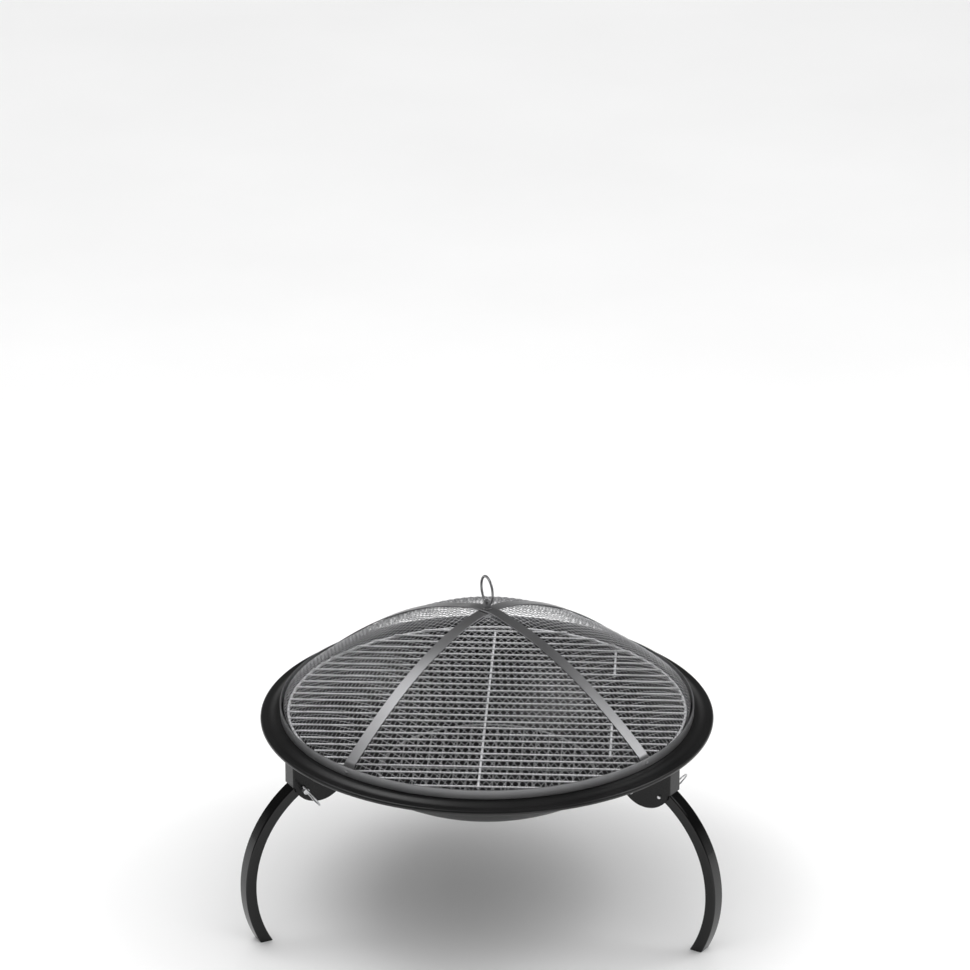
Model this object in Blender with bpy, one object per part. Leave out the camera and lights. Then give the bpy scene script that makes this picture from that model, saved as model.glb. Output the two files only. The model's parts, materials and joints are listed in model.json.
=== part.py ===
"""Folding fire pit: a round steel bowl on three folding legs, with a charcoal grate,
a cooking grill and a domed mesh lid.

Units are metres, +Z is up. The origin is the centre of the bowl's flat floor, on its upper face.
The first leg stands towards +Y, and the other two follow at thirds of a turn.
"""

from math import asin, atan2, cos, hypot, pi, radians, sin, sqrt

import bmesh
import bpy
from mathutils import Matrix, Vector

# ---------------------------------------------------------------- driving dimensions

GAP = 0.0003                    # left between two pieces that touch
TURN_CLEARANCE = 0.0003         # round a pin that turns in its hole
ROUND_STEPS = 44                # flats round the bowl and all that is centred on it
WALL_STEPS = 8                  # flats up the bowl's wall

SHEET = 0.0015                  # bowl sheet
RIM_RADIUS = 0.280              # overall size of the bowl, to the edge of its rim
RIM_WIDTH = 0.0455              # from the top of the wall to that edge
WALL_TOP_SLOPE = radians(51.4)  # the wall is part of a sphere, this steep at its top
FLOOR_RADIUS = 0.0950           # of the flat floor
RIDGE_OUT, RIDGE_UP = 0.0050, 0.0076      # inner bead of the rim, from the top of the wall
GROOVE_OUT, GROOVE_UP = 0.0107, 0.0036    # seat of the cooking grill
CREST_OUT, CREST_UP = 0.0163, 0.0090      # bead that keeps the lid centred
LEDGE_OUT, LEDGE_UP = 0.0193, 0.0066      # start of the flat that carries the lid
LEDGE_END_OUT = 0.0242
STEP_IN, STEP_DOWN = 0.0085, 0.0040       # small step inside the hem
HEM_RADIUS = 0.0030

GRATE_RADIUS = 0.1350           # over the ring
GRATE_RING_WIRE = 0.0032        # wire diameters
GRATE_ROD_WIRE = 0.0022
GRATE_ROD_COUNT = 14
GRATE_ROD_MARGIN = 0.0277       # from the ring's outer edge to the outermost rods
GRATE_CROSS_OVERHANG = 0.0095

GRILL_RING_WIRE = 0.0034
GRILL_ROD_WIRE = 0.0024
GRILL_TIE_WIRE = 0.0030
GRILL_ROD_COUNT = 26
GRILL_ROD_MARGIN = 0.0190       # from the ring to the outermost rods
GRILL_WELD = 0.0006             # how far a tie reaches into the rods over it
SHORT_TIE_INSET = 0.01835       # from the ring to the outer end of the longer short tie
SHORT_TIE_SPANS = ((-8, -3), (6, 10))     # in rod pitches from the middle

BAND_HEIGHT = 0.0120
BAND_THICKNESS = 0.0016
DOME_HEIGHT = 0.120
DOME_POWER = 1.75               # height falls with this power of the radius
MESH_THICKNESS = 0.0010
MESH_SKIRT = 0.0022
MESH_HOLE_RADIUS = 0.0036
STRAP_WIDTH = 0.0160
STRAP_THICKNESS = 0.0015
STRAP_TURN = radians(51.5)
STRAP_TAB_FOOT = 0.0038         # from the band's lower edge to the end of a strap
LID_RIVET_SHANK = 0.0030        # diameters
LID_RIVET_HEAD = 0.0056
LID_RIVET_HEIGHT = 0.0012

EYE_SHANK = 0.0060
EYE_COLLAR_RADIUS = 0.0060
EYE_COLLAR_HEIGHT = 0.0015
EYE_LUG_WIDTH = 0.0094
EYE_LUG_THICKNESS = 0.0030
EYE_LUG_RISE = 0.0052           # from the collar to the middle of the hole
HANDLE_RING_RADIUS = 0.0174     # to the middle of the wire
HANDLE_RING_WIRE = 0.0032
HANDLE_CLEARANCE = 0.0005
HANDLE_TURN = radians(116.0)
EYE_NUT_ACROSS = 0.0100
EYE_NUT_HEIGHT = 0.0048
EYE_PAST_NUT = 0.0015
DRILL_REACH = 0.0060            # how far a drill runs past the sheet it goes through

LEG_COUNT = 3
GROUND_DROP = 0.141             # from the bowl's floor to the ground
LEG_ARC_RADIUS = 0.1563         # outer face of the leg
LEG_TOP_TURN = radians(57.85)   # from level to the pivot, seen from the centre of that arc
LEG_DEPTH = 0.0143
LEG_WIDTH = 0.0190
LEG_WALL = 0.0015
LEG_SIDE_CLEARANCE = 0.0010

PLATE = 0.0020                  # bracket plate
# Places on the bracket, out from and down from the top of the bowl's wall.
PIVOT_PLACE = (0.0215, 0.0419)
BRACKET_ARC_PLACE = (0.0010, 0.0242)      # centre of the bracket's round lower edge
SPACER_PLACE = (-0.0191, 0.0446)          # rivet between the bracket plates
BRACKET_INNER_PLACE = -0.0295
FLANGE_OUTER_PLACE = -0.0045
BRACKET_TOP_PLACE = 0.0115      # where the upper edge turns level under the rim
BOLT_PLACE = -0.0165
PIVOT_INSET = 0.0103            # from the leg's outer face
WEB_FROM_PIVOT = 0.0125         # to the inner face of the bracket's web
BRACKET_ARC_RADIUS = 0.0369
RIM_CLEARANCE = 0.0040
FLANGE_HALF_WIDTH = 0.0360
SPACER_SHANK = 0.0050
SPACER_HEAD = 0.0080
SPACER_HEAD_HEIGHT = 0.0014
WEB_CLEARANCE = 0.0004

BOLT_SPACING = 0.0490
BOLT_SHANK = 0.0060
BOLT_HEAD = 0.0110
BOLT_HEAD_HEIGHT = 0.0032
BOLT_HOLE = 0.0066
NUT_ACROSS = 0.0100
NUT_HEIGHT = 0.0050
BOLT_PAST_NUT = 0.0020

PIN_SHANK = 0.0050
PIN_HEAD = 0.0080
PIN_HEAD_LENGTH = 0.0070
PIN_TIP = 0.0022                # stands out past the bracket
PULL_RING_RADIUS = 0.0150
PULL_RING_WIRE = 0.0020
PULL_RING_LEAN = radians(236.5) # way the ring's wire runs through the pin head

# ---------------------------------------------------------------- sizes that follow

WALL_TOP_RADIUS = RIM_RADIUS - RIM_WIDTH
WALL_ARC_RADIUS = WALL_TOP_RADIUS / sin(WALL_TOP_SLOPE)      # measured inside the wall
WALL_START = asin(FLOOR_RADIUS / WALL_ARC_RADIUS)
WALL_END = asin(WALL_TOP_RADIUS / WALL_ARC_RADIUS)
WALL_SAG = WALL_ARC_RADIUS * (1 - cos((WALL_END - WALL_START) / WALL_STEPS / 2))
WALL_CENTRE = sqrt(WALL_ARC_RADIUS**2 - FLOOR_RADIUS**2)      # height of the sphere's centre
WALL_TOP = WALL_CENTRE - sqrt(WALL_ARC_RADIUS**2 - WALL_TOP_RADIUS**2)
GROOVE_RADIUS = WALL_TOP_RADIUS + GROOVE_OUT
GROOVE_FLOOR = WALL_TOP + GROOVE_UP
GROOVE_SLOPE = max(
    (RIDGE_UP - GROOVE_UP) / (GROOVE_OUT - RIDGE_OUT),
    (CREST_UP - GROOVE_UP) / (CREST_OUT - GROOVE_OUT),
)
LEDGE_RADIUS = WALL_TOP_RADIUS + LEDGE_OUT
LEDGE_TOP = WALL_TOP + LEDGE_UP
GROUND = -GROUND_DROP
GRATE_ROD_PITCH = 2 * (GRATE_RADIUS - GRATE_ROD_MARGIN) / (GRATE_ROD_COUNT - 1)
GRILL_ROD_PITCH = 2 * (GROOVE_RADIUS - GRILL_ROD_MARGIN) / (GRILL_ROD_COUNT - 1)
SHORT_TIE_REACH = (SHORT_TIE_SPANS[-1][1] - 0.5) * GRILL_ROD_PITCH + GRILL_ROD_WIRE / 2
SHORT_TIE_X = sqrt(GROOVE_RADIUS**2 - SHORT_TIE_REACH**2) - SHORT_TIE_INSET

BAND_INNER = LEDGE_RADIUS + GAP
BAND_FOOT = LEDGE_TOP + GAP
BAND_TOP = BAND_FOOT + BAND_HEIGHT
FLAT = cos(pi / ROUND_STEPS)    # middle of a flat, as a share of the radius
TAB_CORNER = (STRAP_WIDTH / 2) ** 2 / BAND_INNER
MESH_RADIUS = BAND_INNER * FLAT - TAB_CORNER - GAP - STRAP_THICKNESS - GAP
DOME_BASE = BAND_TOP - 0.0010
MESH_FOOT = DOME_BASE - MESH_SKIRT

BRACKET_INSIDE = LEG_WIDTH / 2 + LEG_SIDE_CLEARANCE
BRACKET_OUTSIDE = BRACKET_INSIDE + PLATE
FLANGE_INNER_ARC = WALL_ARC_RADIUS + SHEET + GAP
PIVOT_OUT, PIVOT_UP = WALL_TOP_RADIUS + PIVOT_PLACE[0], WALL_TOP - PIVOT_PLACE[1]
PIVOT_FROM_ARC = LEG_ARC_RADIUS - PIVOT_INSET
LEG_ARC_OUT = PIVOT_OUT - PIVOT_FROM_ARC * cos(LEG_TOP_TURN)  # centre of the leg's arc
LEG_ARC_UP = PIVOT_UP - PIVOT_FROM_ARC * sin(LEG_TOP_TURN)
BRACKET_ARC_OUT, BRACKET_ARC_UP = WALL_TOP_RADIUS + BRACKET_ARC_PLACE[0], WALL_TOP - BRACKET_ARC_PLACE[1]
SPACER_OUT, SPACER_UP = WALL_TOP_RADIUS + SPACER_PLACE[0], WALL_TOP - SPACER_PLACE[1]
BRACKET_INNER_OUT = WALL_TOP_RADIUS + BRACKET_INNER_PLACE
FLANGE_OUTER_OUT = WALL_TOP_RADIUS + FLANGE_OUTER_PLACE
BRACKET_TOP_OUT = WALL_TOP_RADIUS + BRACKET_TOP_PLACE
BOLT_OUT = WALL_TOP_RADIUS + BOLT_PLACE
PIN_HOLE_RADIUS = PIN_SHANK / 2 + TURN_CLEARANCE
LEG_NAMES = ("back", "left", "right")


def wall_height(radius, arc_radius=WALL_ARC_RADIUS):
    """Height of the sphere that the bowl's wall follows, or of one inside or outside it."""
    return WALL_CENTRE - sqrt(arc_radius**2 - radius**2)


def dome_height(radius):
    return DOME_BASE + DOME_HEIGHT * (1 - (radius / MESH_RADIUS) ** DOME_POWER)


# ---------------------------------------------------------------- materials and meshes


def material(name, colour, roughness, metallic):
    made = bpy.data.materials.new(name)
    made.use_nodes = True
    shader = made.node_tree.nodes["Principled BSDF"]
    shader.inputs["Base Color"].default_value = (*colour, 1.0)
    shader.inputs["Roughness"].default_value = roughness
    shader.inputs["Metallic"].default_value = metallic
    return made


def place(name, mesh, look, matrix=None, smooth_angle=radians(35)):
    """Turns a bmesh into a named object with its own material, shaded smooth but for its edges."""
    bmesh.ops.recalc_face_normals(mesh, faces=mesh.faces[:])
    data = bpy.data.meshes.new(name)
    mesh.to_mesh(data)
    mesh.free()
    data.shade_smooth()
    data.set_sharp_from_angle(angle=smooth_angle)
    thing = bpy.data.objects.new(name, data)
    bpy.context.scene.collection.objects.link(thing)
    thing.matrix_world = matrix or Matrix()
    colour, roughness, metallic = look
    data.materials.append(material(name, colour, roughness, metallic))
    return thing


def hide_as_cutter(thing):
    thing.hide_render = True
    thing.display_type = "WIRE"
    return thing


def combine(thing, other, operation):
    modifier = thing.modifiers.new(other.name, "BOOLEAN")
    modifier.object = other
    modifier.operation = operation
    hide_as_cutter(other)


def turned(outline, steps):
    """Turns a closed outline of (radius, height) points round the Z axis."""
    mesh = bmesh.new()
    rings = []
    for radius, height in outline:
        if radius < 1e-9:
            rings.append([mesh.verts.new((0, 0, height))] * steps)
            continue
        ring = []
        for step in range(steps):
            angle = 2 * pi * step / steps
            ring.append(mesh.verts.new((radius * cos(angle), radius * sin(angle), height)))
        rings.append(ring)
    for one, two in zip(rings, rings[1:] + rings[:1]):
        for step in range(steps):
            after = (step + 1) % steps
            corners = [one[step], one[after], two[after], two[step]]
            corners = list(dict.fromkeys(corners))
            if len(corners) > 2:
                mesh.faces.new(corners)
    return mesh


def extruded(outline, half_width):
    """Extrudes an (out, up) outline both ways along Y, as a solid with flat sides."""
    mesh = bmesh.new()
    near = [mesh.verts.new((out, -half_width, up)) for out, up in outline]
    far = [mesh.verts.new((out, half_width, up)) for out, up in outline]
    mesh.faces.new(near)
    mesh.faces.new(far[::-1])
    for index in range(len(outline)):
        after = (index + 1) % len(outline)
        mesh.faces.new([near[after], near[index], far[index], far[after]])
    return mesh


def strip(lower, upper, half_width):
    """A bent flat bar between two (out, up) lines that have as many points as each other."""
    mesh = bmesh.new()
    stations = []
    for (out_a, up_a), (out_b, up_b) in zip(lower, upper):
        corners = [
            (out_a, -half_width, up_a),
            (out_a, half_width, up_a),
            (out_b, half_width, up_b),
            (out_b, -half_width, up_b),
        ]
        stations.append([mesh.verts.new(corner) for corner in corners])
    for one, two in zip(stations, stations[1:]):
        for side in range(4):
            after = (side + 1) % 4
            mesh.faces.new([one[side], one[after], two[after], two[side]])
    mesh.faces.new(stations[0][::-1])
    mesh.faces.new(stations[-1])
    return mesh


def rod(radius, start, end, sides=8):
    """A closed round bar from one point to another."""
    start, end = Vector(start), Vector(end)
    mesh = bmesh.new()
    bmesh.ops.create_cone(
        mesh,
        cap_ends=True,
        segments=sides,
        radius1=radius,
        radius2=radius,
        depth=(end - start).length,
    )
    turn = Vector((0, 0, 1)).rotation_difference(end - start).to_matrix().to_4x4()
    bmesh.ops.transform(mesh, matrix=Matrix.Translation((start + end) / 2) @ turn, verts=mesh.verts[:])
    return mesh


def together(*meshes):
    """Puts several meshes into one, as separate shells."""
    whole = bmesh.new()
    for mesh in meshes:
        data = bpy.data.meshes.new("shell")
        mesh.to_mesh(data)
        mesh.free()
        whole.from_mesh(data)
        bpy.data.meshes.remove(data)
    return whole


def ring(radius, wire, steps, sides):
    outline = []
    for side in range(sides):
        angle = 2 * pi * side / sides
        outline.append((radius + wire / 2 * cos(angle), wire / 2 * sin(angle)))
    return turned(outline, steps)


def hexagon(across, height):
    mesh = bmesh.new()
    radius = across / sqrt(3)
    bmesh.ops.create_cone(mesh, cap_ends=True, segments=6, radius1=radius, radius2=radius, depth=height)
    return mesh


def offset_line(points, distance):
    """Moves a line of (out, up) points sideways, to its right as it runs."""
    moved = []
    for index, (out, up) in enumerate(points):
        before = points[max(index - 1, 0)]
        after = points[min(index + 1, len(points) - 1)]
        ways = []
        for one, two in ((before, (out, up)), ((out, up), after)):
            length = hypot(two[0] - one[0], two[1] - one[1])
            if length > 1e-9:
                ways.append(((two[1] - one[1]) / length, -(two[0] - one[0]) / length))
        right = (sum(way[0] for way in ways), sum(way[1] for way in ways))
        length = hypot(*right)
        right = (right[0] / length, right[1] / length)
        spread = right[0] * ways[0][0] + right[1] * ways[0][1]
        moved.append((out + right[0] * distance / spread, up + right[1] * distance / spread))
    return moved


def arc(centre, radius, start, end, steps):
    points = []
    for step in range(steps + 1):
        angle = start + (end - start) * step / steps
        points.append((centre[0] + radius * cos(angle), centre[1] + radius * sin(angle)))
    return points


def leg_frame(index):
    """X points out along the leg, Y along its pivot, with the origin on the bowl's axis."""
    return Matrix.Rotation(radians(90) + 2 * pi * index / LEG_COUNT, 4, "Z")


def wall_point(out, side, from_centre):
    """A place on a sphere round the wall's centre, and the way straight out of the wall there."""
    way = Vector((out, side, wall_height(hypot(out, side)) - WALL_CENTRE)).normalized()
    return Vector((0, 0, WALL_CENTRE)) + way * from_centre, way


def along(way):
    """A turn that takes +Z to the way given."""
    return Vector((0, 0, 1)).rotation_difference(way).to_matrix().to_4x4()


# ---------------------------------------------------------------- looks

BLACK_ENAMEL = ((0.016, 0.016, 0.017), 0.42, 0.0)
BLACK_GLOSS = ((0.008, 0.008, 0.009), 0.22, 0.0)
BLACK_PLATE = ((0.02, 0.02, 0.021), 0.45, 0.0)
BLACK_BOLT = ((0.012, 0.012, 0.013), 0.40, 0.6)
ZINC = ((0.62, 0.63, 0.65), 0.30, 1.0)
GUNMETAL = ((0.20, 0.20, 0.205), 0.38, 0.9)
MESH_GREY = ((0.45, 0.45, 0.46), 0.45, 0.9)
CHROME = ((0.80, 0.80, 0.81), 0.16, 1.0)
GRATE_GREY = ((0.36, 0.36, 0.36), 0.35, 1.0)


# ---------------------------------------------------------------- bowl


def half_wave(start, end, steps):
    """A soft step from one (radius, height) point to another, level at both ends."""
    points = []
    for step in range(1, steps + 1):
        share = step / steps
        height = start[1] + (end[1] - start[1]) * (1 - cos(pi * share)) / 2
        points.append((start[0] + (end[0] - start[0]) * share, height))
    return points


def bowl_upper_line():
    """Upper face of the bowl, from the middle of the floor to the end of the rolled hem."""
    line = [(0.0, 0.0), (FLOOR_RADIUS / 2, 0.0)]
    for step in range(WALL_STEPS + 1):
        radius = WALL_ARC_RADIUS * sin(WALL_START + (WALL_END - WALL_START) * step / WALL_STEPS)
        line.append((radius, wall_height(radius)))
    beads = [(RIDGE_OUT, RIDGE_UP), (GROOVE_OUT, GROOVE_UP), (CREST_OUT, CREST_UP), (LEDGE_OUT, LEDGE_UP)]
    beads = [(WALL_TOP_RADIUS + out, WALL_TOP + up) for out, up in beads]
    rise = beads[0][1] - WALL_TOP
    for share in (0.4, 1.0):
        line.append((WALL_TOP_RADIUS + RIDGE_OUT * share, WALL_TOP + rise * sin(pi / 2 * share)))
    for one, two in zip(beads, beads[1:]):
        line += half_wave(one, two, 2)
    ledge_end = (WALL_TOP_RADIUS + LEDGE_END_OUT, LEDGE_TOP)
    step_foot = (RIM_RADIUS - STEP_IN, LEDGE_TOP - STEP_DOWN)
    line.append(ledge_end)
    line += half_wave(ledge_end, step_foot, 2)
    hem = (RIM_RADIUS - HEM_RADIUS, step_foot[1] - HEM_RADIUS)
    line += arc(hem, HEM_RADIUS, pi / 2, -pi / 2, 4)
    return line


def make_bowl():
    upper = bowl_upper_line()
    lower = offset_line(upper, SHEET)
    bowl = place("fire_bowl", turned(upper + lower[::-1], ROUND_STEPS), BLACK_ENAMEL)
    holes = []
    for index in range(LEG_COUNT):
        for side in (-1, 1):
            inner, _ = wall_point(BOLT_OUT, side * BOLT_SPACING / 2, WALL_ARC_RADIUS - 3 * SHEET)
            outer, _ = wall_point(BOLT_OUT, side * BOLT_SPACING / 2, WALL_ARC_RADIUS + 3 * SHEET)
            turn = leg_frame(index)
            holes.append(rod(BOLT_HOLE / 2, turn @ inner, turn @ outer, 12))
    cutter = place("bowl_bolt_holes", together(*holes), BLACK_ENAMEL)
    combine(bowl, cutter, "DIFFERENCE")


# ---------------------------------------------------------------- brackets and their fasteners


def web_foot():
    """Height at which the web clears the standing leg's outer face."""
    reach = WEB_INNER - LEG_ARC_OUT
    return LEG_ARC_UP + sqrt(LEG_ARC_RADIUS**2 - reach**2) + WEB_CLEARANCE


WEB_INNER = PIVOT_OUT + WEB_FROM_PIVOT
WEB_OUTER = WEB_INNER + PLATE
WEB_FOOT = web_foot()
BRACKET_TOP = WALL_TOP + GROOVE_UP - SHEET - RIM_CLEARANCE


def bracket_outline():
    """Side of the bracket: along the bowl, level under the rim, down the web, round the lower edge."""
    mid_flange = FLANGE_INNER_ARC + PLATE / 2
    start, end = asin(BRACKET_INNER_OUT / mid_flange), asin(FLANGE_OUTER_OUT / mid_flange)
    line = []
    for step in range(6):
        out = mid_flange * sin(start + (end - start) * step / 5)
        line.append((out, wall_height(out, mid_flange)))
    line += [(BRACKET_TOP_OUT, BRACKET_TOP), (WEB_OUTER, BRACKET_TOP)]
    line += [(WEB_OUTER, WEB_FOOT), (WEB_INNER - GAP, WEB_FOOT)]
    centre = (BRACKET_ARC_OUT, BRACKET_ARC_UP)
    line += arc(centre, BRACKET_ARC_RADIUS, radians(-34), radians(-146), 10)
    return line


def flange(arc_radius):
    """A patch of sheet that follows the bowl's wall, for the bracket's bolts."""
    mesh = bmesh.new()
    spread = FLANGE_HALF_WIDTH / BOLT_OUT
    low, high = asin(BRACKET_INNER_OUT / arc_radius), asin(FLANGE_OUTER_OUT / arc_radius)
    across, up = 8, 2
    layers = []
    for radius in (arc_radius, arc_radius + PLATE):
        grid = []
        for i in range(across + 1):
            turn = -spread + 2 * spread * i / across
            column = []
            for j in range(up + 1):
                lean = low + (high - low) * j / up
                flat = radius * sin(lean)
                place_at = (flat * cos(turn), flat * sin(turn), WALL_CENTRE - radius * cos(lean))
                column.append(mesh.verts.new(place_at))
            grid.append(column)
        layers.append(grid)
    inner, outer = layers
    for i in range(across):
        for j in range(up):
            mesh.faces.new([inner[i][j], inner[i][j + 1], inner[i + 1][j + 1], inner[i + 1][j]])
            mesh.faces.new([outer[i][j], outer[i + 1][j], outer[i + 1][j + 1], outer[i][j + 1]])
    edge = [(i, 0) for i in range(across)] + [(across, j) for j in range(up)]
    edge += [(i, up) for i in range(across, 0, -1)] + [(0, j) for j in range(up, 0, -1)]
    for (i, j), (k, m) in zip(edge, edge[1:] + edge[:1]):
        mesh.faces.new([inner[i][j], inner[k][m], outer[k][m], outer[i][j]])
    return mesh


def make_bracket(index, name):
    turn = leg_frame(index)
    bracket = place("bracket_" + name, extruded(bracket_outline(), BRACKET_OUTSIDE), BLACK_PLATE, turn)
    far_in, high = BRACKET_INNER_OUT / 2, 2 * WALL_TOP
    channel = [(far_in, high), (far_in, GROUND), (WEB_INNER, GROUND), (WEB_INNER, high)]
    cutter = place("channel_" + name, extruded(channel, BRACKET_INSIDE), BLACK_PLATE, turn)
    combine(bracket, cutter, "DIFFERENCE")
    sheet = place("flange_" + name, flange(FLANGE_INNER_ARC), BLACK_PLATE, turn)
    combine(bracket, sheet, "UNION")
    reach = BRACKET_OUTSIDE + DRILL_REACH
    holes = [
        rod(PIN_HOLE_RADIUS, (PIVOT_OUT, -reach, PIVOT_UP), (PIVOT_OUT, reach, PIVOT_UP), 12),
        rod(
            SPACER_SHANK / 2 + GAP,
            (SPACER_OUT, -reach, SPACER_UP),
            (SPACER_OUT, reach, SPACER_UP),
            12,
        ),
    ]
    for side in (-1, 1):
        inner, _ = wall_point(BOLT_OUT, side * BOLT_SPACING / 2, FLANGE_INNER_ARC - 2 * PLATE)
        outer, _ = wall_point(BOLT_OUT, side * BOLT_SPACING / 2, FLANGE_INNER_ARC + 3 * PLATE)
        holes.append(rod(BOLT_HOLE / 2, inner, outer, 12))
    drill = place("bracket_holes_" + name, together(*holes), BLACK_PLATE, turn)
    combine(bracket, drill, "DIFFERENCE")


def make_bracket_bolts(index, name):
    head_seat = WALL_ARC_RADIUS - BOLT_OUT * (1 - FLAT) - GAP
    nut_seat = FLANGE_INNER_ARC + PLATE + GAP
    tip = nut_seat + NUT_HEIGHT + BOLT_PAST_NUT
    head = head_seat - BOLT_HEAD_HEIGHT
    half = BOLT_HEAD / 2
    # A turned pan head, then the shank, written down from the top of the head.
    outline = [(0.0, head), (half * 0.55, head + 0.0003), (half * 0.88, head + 0.0012), (half, head_seat)]
    outline += [(BOLT_SHANK / 2, head_seat), (BOLT_SHANK / 2, tip), (0.0, tip)]
    for number, side in enumerate((-1, 1), start=1):
        _, way = wall_point(BOLT_OUT, side * BOLT_SPACING / 2, 0.0)
        origin = leg_frame(index) @ Matrix.Translation((0, 0, WALL_CENTRE)) @ along(way)
        place(f"bracket_bolt_{name}_{number}", turned(outline, 12), BLACK_BOLT, origin)
        nut = place(
            f"bracket_nut_{name}_{number}",
            hexagon(NUT_ACROSS, NUT_HEIGHT),
            ZINC,
            origin @ Matrix.Translation((0, 0, nut_seat + NUT_HEIGHT / 2)),
        )
        bore = rod(BOLT_SHANK / 2 + GAP, (0, 0, -NUT_HEIGHT), (0, 0, NUT_HEIGHT), 12)
        cutter = place(f"nut_bore_{name}_{number}", bore, ZINC, nut.matrix_world)
        combine(nut, cutter, "DIFFERENCE")


def make_spacer_rivet(index, name):
    seat = BRACKET_OUTSIDE + GAP
    end = seat + SPACER_HEAD_HEIGHT
    outline = [(0.0, -end), (SPACER_HEAD / 2 * 0.7, -end), (SPACER_HEAD / 2, -seat - 0.0004)]
    outline += [(SPACER_HEAD / 2, -seat), (SPACER_SHANK / 2, -seat), (SPACER_SHANK / 2, seat)]
    outline += [(SPACER_HEAD / 2, seat), (SPACER_HEAD / 2, seat + 0.0004)]
    outline += [(SPACER_HEAD / 2 * 0.7, end), (0.0, end)]
    lay = Matrix.Translation((SPACER_OUT, 0, SPACER_UP)) @ Matrix.Rotation(radians(-90), 4, "X")
    place("spacer_rivet_" + name, turned(outline, 12), ZINC, leg_frame(index) @ lay)


# ---------------------------------------------------------------- legs and their pins


def leg_outline(inset):
    """Side of a leg, or of its hollow: an arc with a round upper end and a level foot."""
    centre = (LEG_ARC_OUT, LEG_ARC_UP)
    outer, inner = LEG_ARC_RADIUS - inset, LEG_ARC_RADIUS - LEG_DEPTH + inset
    middle = LEG_ARC_RADIUS - LEG_DEPTH / 2
    top = atan2(PIVOT_UP - LEG_ARC_UP, PIVOT_OUT - LEG_ARC_OUT)
    foot = GROUND if inset == 0 else GROUND - LEG_DEPTH
    line = arc(centre, outer, asin((foot - LEG_ARC_UP) / outer), top, 14)
    end = (centre[0] + middle * cos(top), centre[1] + middle * sin(top))
    line += arc(end, LEG_DEPTH / 2 - inset, top, top + pi, 6)[1:-1]
    line += arc(centre, inner, top, asin((foot - LEG_ARC_UP) / inner), 14)
    return line


def make_leg(index, name):
    """The leg's object has its origin on the pivot, so it folds by turning about its own Y axis."""
    at_pivot = leg_frame(index) @ Matrix.Translation((PIVOT_OUT, 0, PIVOT_UP))
    shift = Matrix.Translation((-PIVOT_OUT, 0, -PIVOT_UP))
    body = extruded(leg_outline(0), LEG_WIDTH / 2)
    bmesh.ops.transform(body, matrix=shift, verts=body.verts[:])
    leg = place("leg_" + name, body, BLACK_GLOSS, at_pivot)
    hollow = extruded(leg_outline(LEG_WALL), LEG_WIDTH / 2 - LEG_WALL)
    bmesh.ops.transform(hollow, matrix=shift, verts=hollow.verts[:])
    combine(leg, place("leg_hollow_" + name, hollow, BLACK_GLOSS, at_pivot), "DIFFERENCE")
    bore = rod(PIN_HOLE_RADIUS, (0, -LEG_WIDTH, 0), (0, LEG_WIDTH, 0), 12)
    combine(leg, place("leg_bore_" + name, bore, BLACK_GLOSS, at_pivot), "DIFFERENCE")


def make_leg_pin(index, name):
    """Pull pin on the pivot: its head is on the counter-clockwise side, with a ring through it."""
    at_pivot = leg_frame(index) @ Matrix.Translation((PIVOT_OUT, 0, PIVOT_UP))
    lay = at_pivot @ Matrix.Rotation(radians(-90), 4, "X")
    seat = BRACKET_OUTSIDE + GAP
    head_end = seat + PIN_HEAD_LENGTH
    tip = -BRACKET_OUTSIDE - PIN_TIP
    chamfer = PIN_SHANK / 4
    outline = [(0.0, head_end), (PIN_HEAD / 2 * 0.75, head_end), (PIN_HEAD / 2, head_end - 0.001)]
    outline += [(PIN_HEAD / 2, seat), (PIN_SHANK / 2, seat), (PIN_SHANK / 2, tip + chamfer)]
    outline += [(PIN_SHANK / 2 - chamfer, tip), (0.0, tip)]
    pin = place("leg_pin_" + name, turned(outline, 12), ZINC, lay)
    hole_at = seat + PIN_HEAD_LENGTH * 0.6
    lean = Vector((cos(PULL_RING_LEAN), 0, sin(PULL_RING_LEAN)))
    through = lean * PIN_HEAD
    middle = Vector((0, hole_at, 0))
    # The ring bends away inside the hole, by the rise of an arc as long as the head is wide.
    bend = (PIN_HEAD / 2) ** 2 / (2 * PULL_RING_RADIUS)
    hole = rod(PULL_RING_WIRE / 2 + bend + GAP, middle - through, middle + through, 12)
    combine(pin, place("pin_hole_" + name, hole, ZINC, at_pivot), "DIFFERENCE")
    # The ring's plane holds the pin's own axis and the way of the hole.
    across = Vector((0, 1, 0))
    normal = lean.cross(across)
    turn = Matrix((lean, across, normal)).transposed().to_4x4()
    at_ring = at_pivot @ Matrix.Translation((0, hole_at + PULL_RING_RADIUS, 0)) @ turn
    place("pull_ring_" + name, ring(PULL_RING_RADIUS, PULL_RING_WIRE, 20, 6), ZINC, at_ring)


# ---------------------------------------------------------------- charcoal grate


def make_grate():
    wire = GRATE_RING_WIRE / 2
    middle = GRATE_RADIUS - wire
    from_centre = WALL_ARC_RADIUS - WALL_SAG - wire - GAP
    seat = WALL_CENTRE - sqrt(from_centre**2 - middle**2)
    level = Matrix.Translation((0, 0, seat))
    place("grate_ring", ring(middle, GRATE_RING_WIRE, ROUND_STEPS, 6), GRATE_GREY, level)
    bar = GRATE_ROD_WIRE / 2
    for number in range(GRATE_ROD_COUNT):
        side = (number - (GRATE_ROD_COUNT - 1) / 2) * GRATE_ROD_PITCH
        half = sqrt((middle - wire - GAP) ** 2 - (abs(side) + bar) ** 2)
        mesh = rod(bar, (side, -half, 0), (side, half, 0), 6)
        place(f"grate_rod_{number + 1:02d}", mesh, GRATE_GREY, level)
    half = (GRATE_ROD_COUNT - 1) / 2 * GRATE_ROD_PITCH + GRATE_CROSS_OVERHANG
    rise = 2 * bar + GAP
    place("grate_cross_rod", rod(bar, (-half, 0, rise), (half, 0, rise)), GRATE_GREY, level)


# ---------------------------------------------------------------- cooking grill


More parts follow.
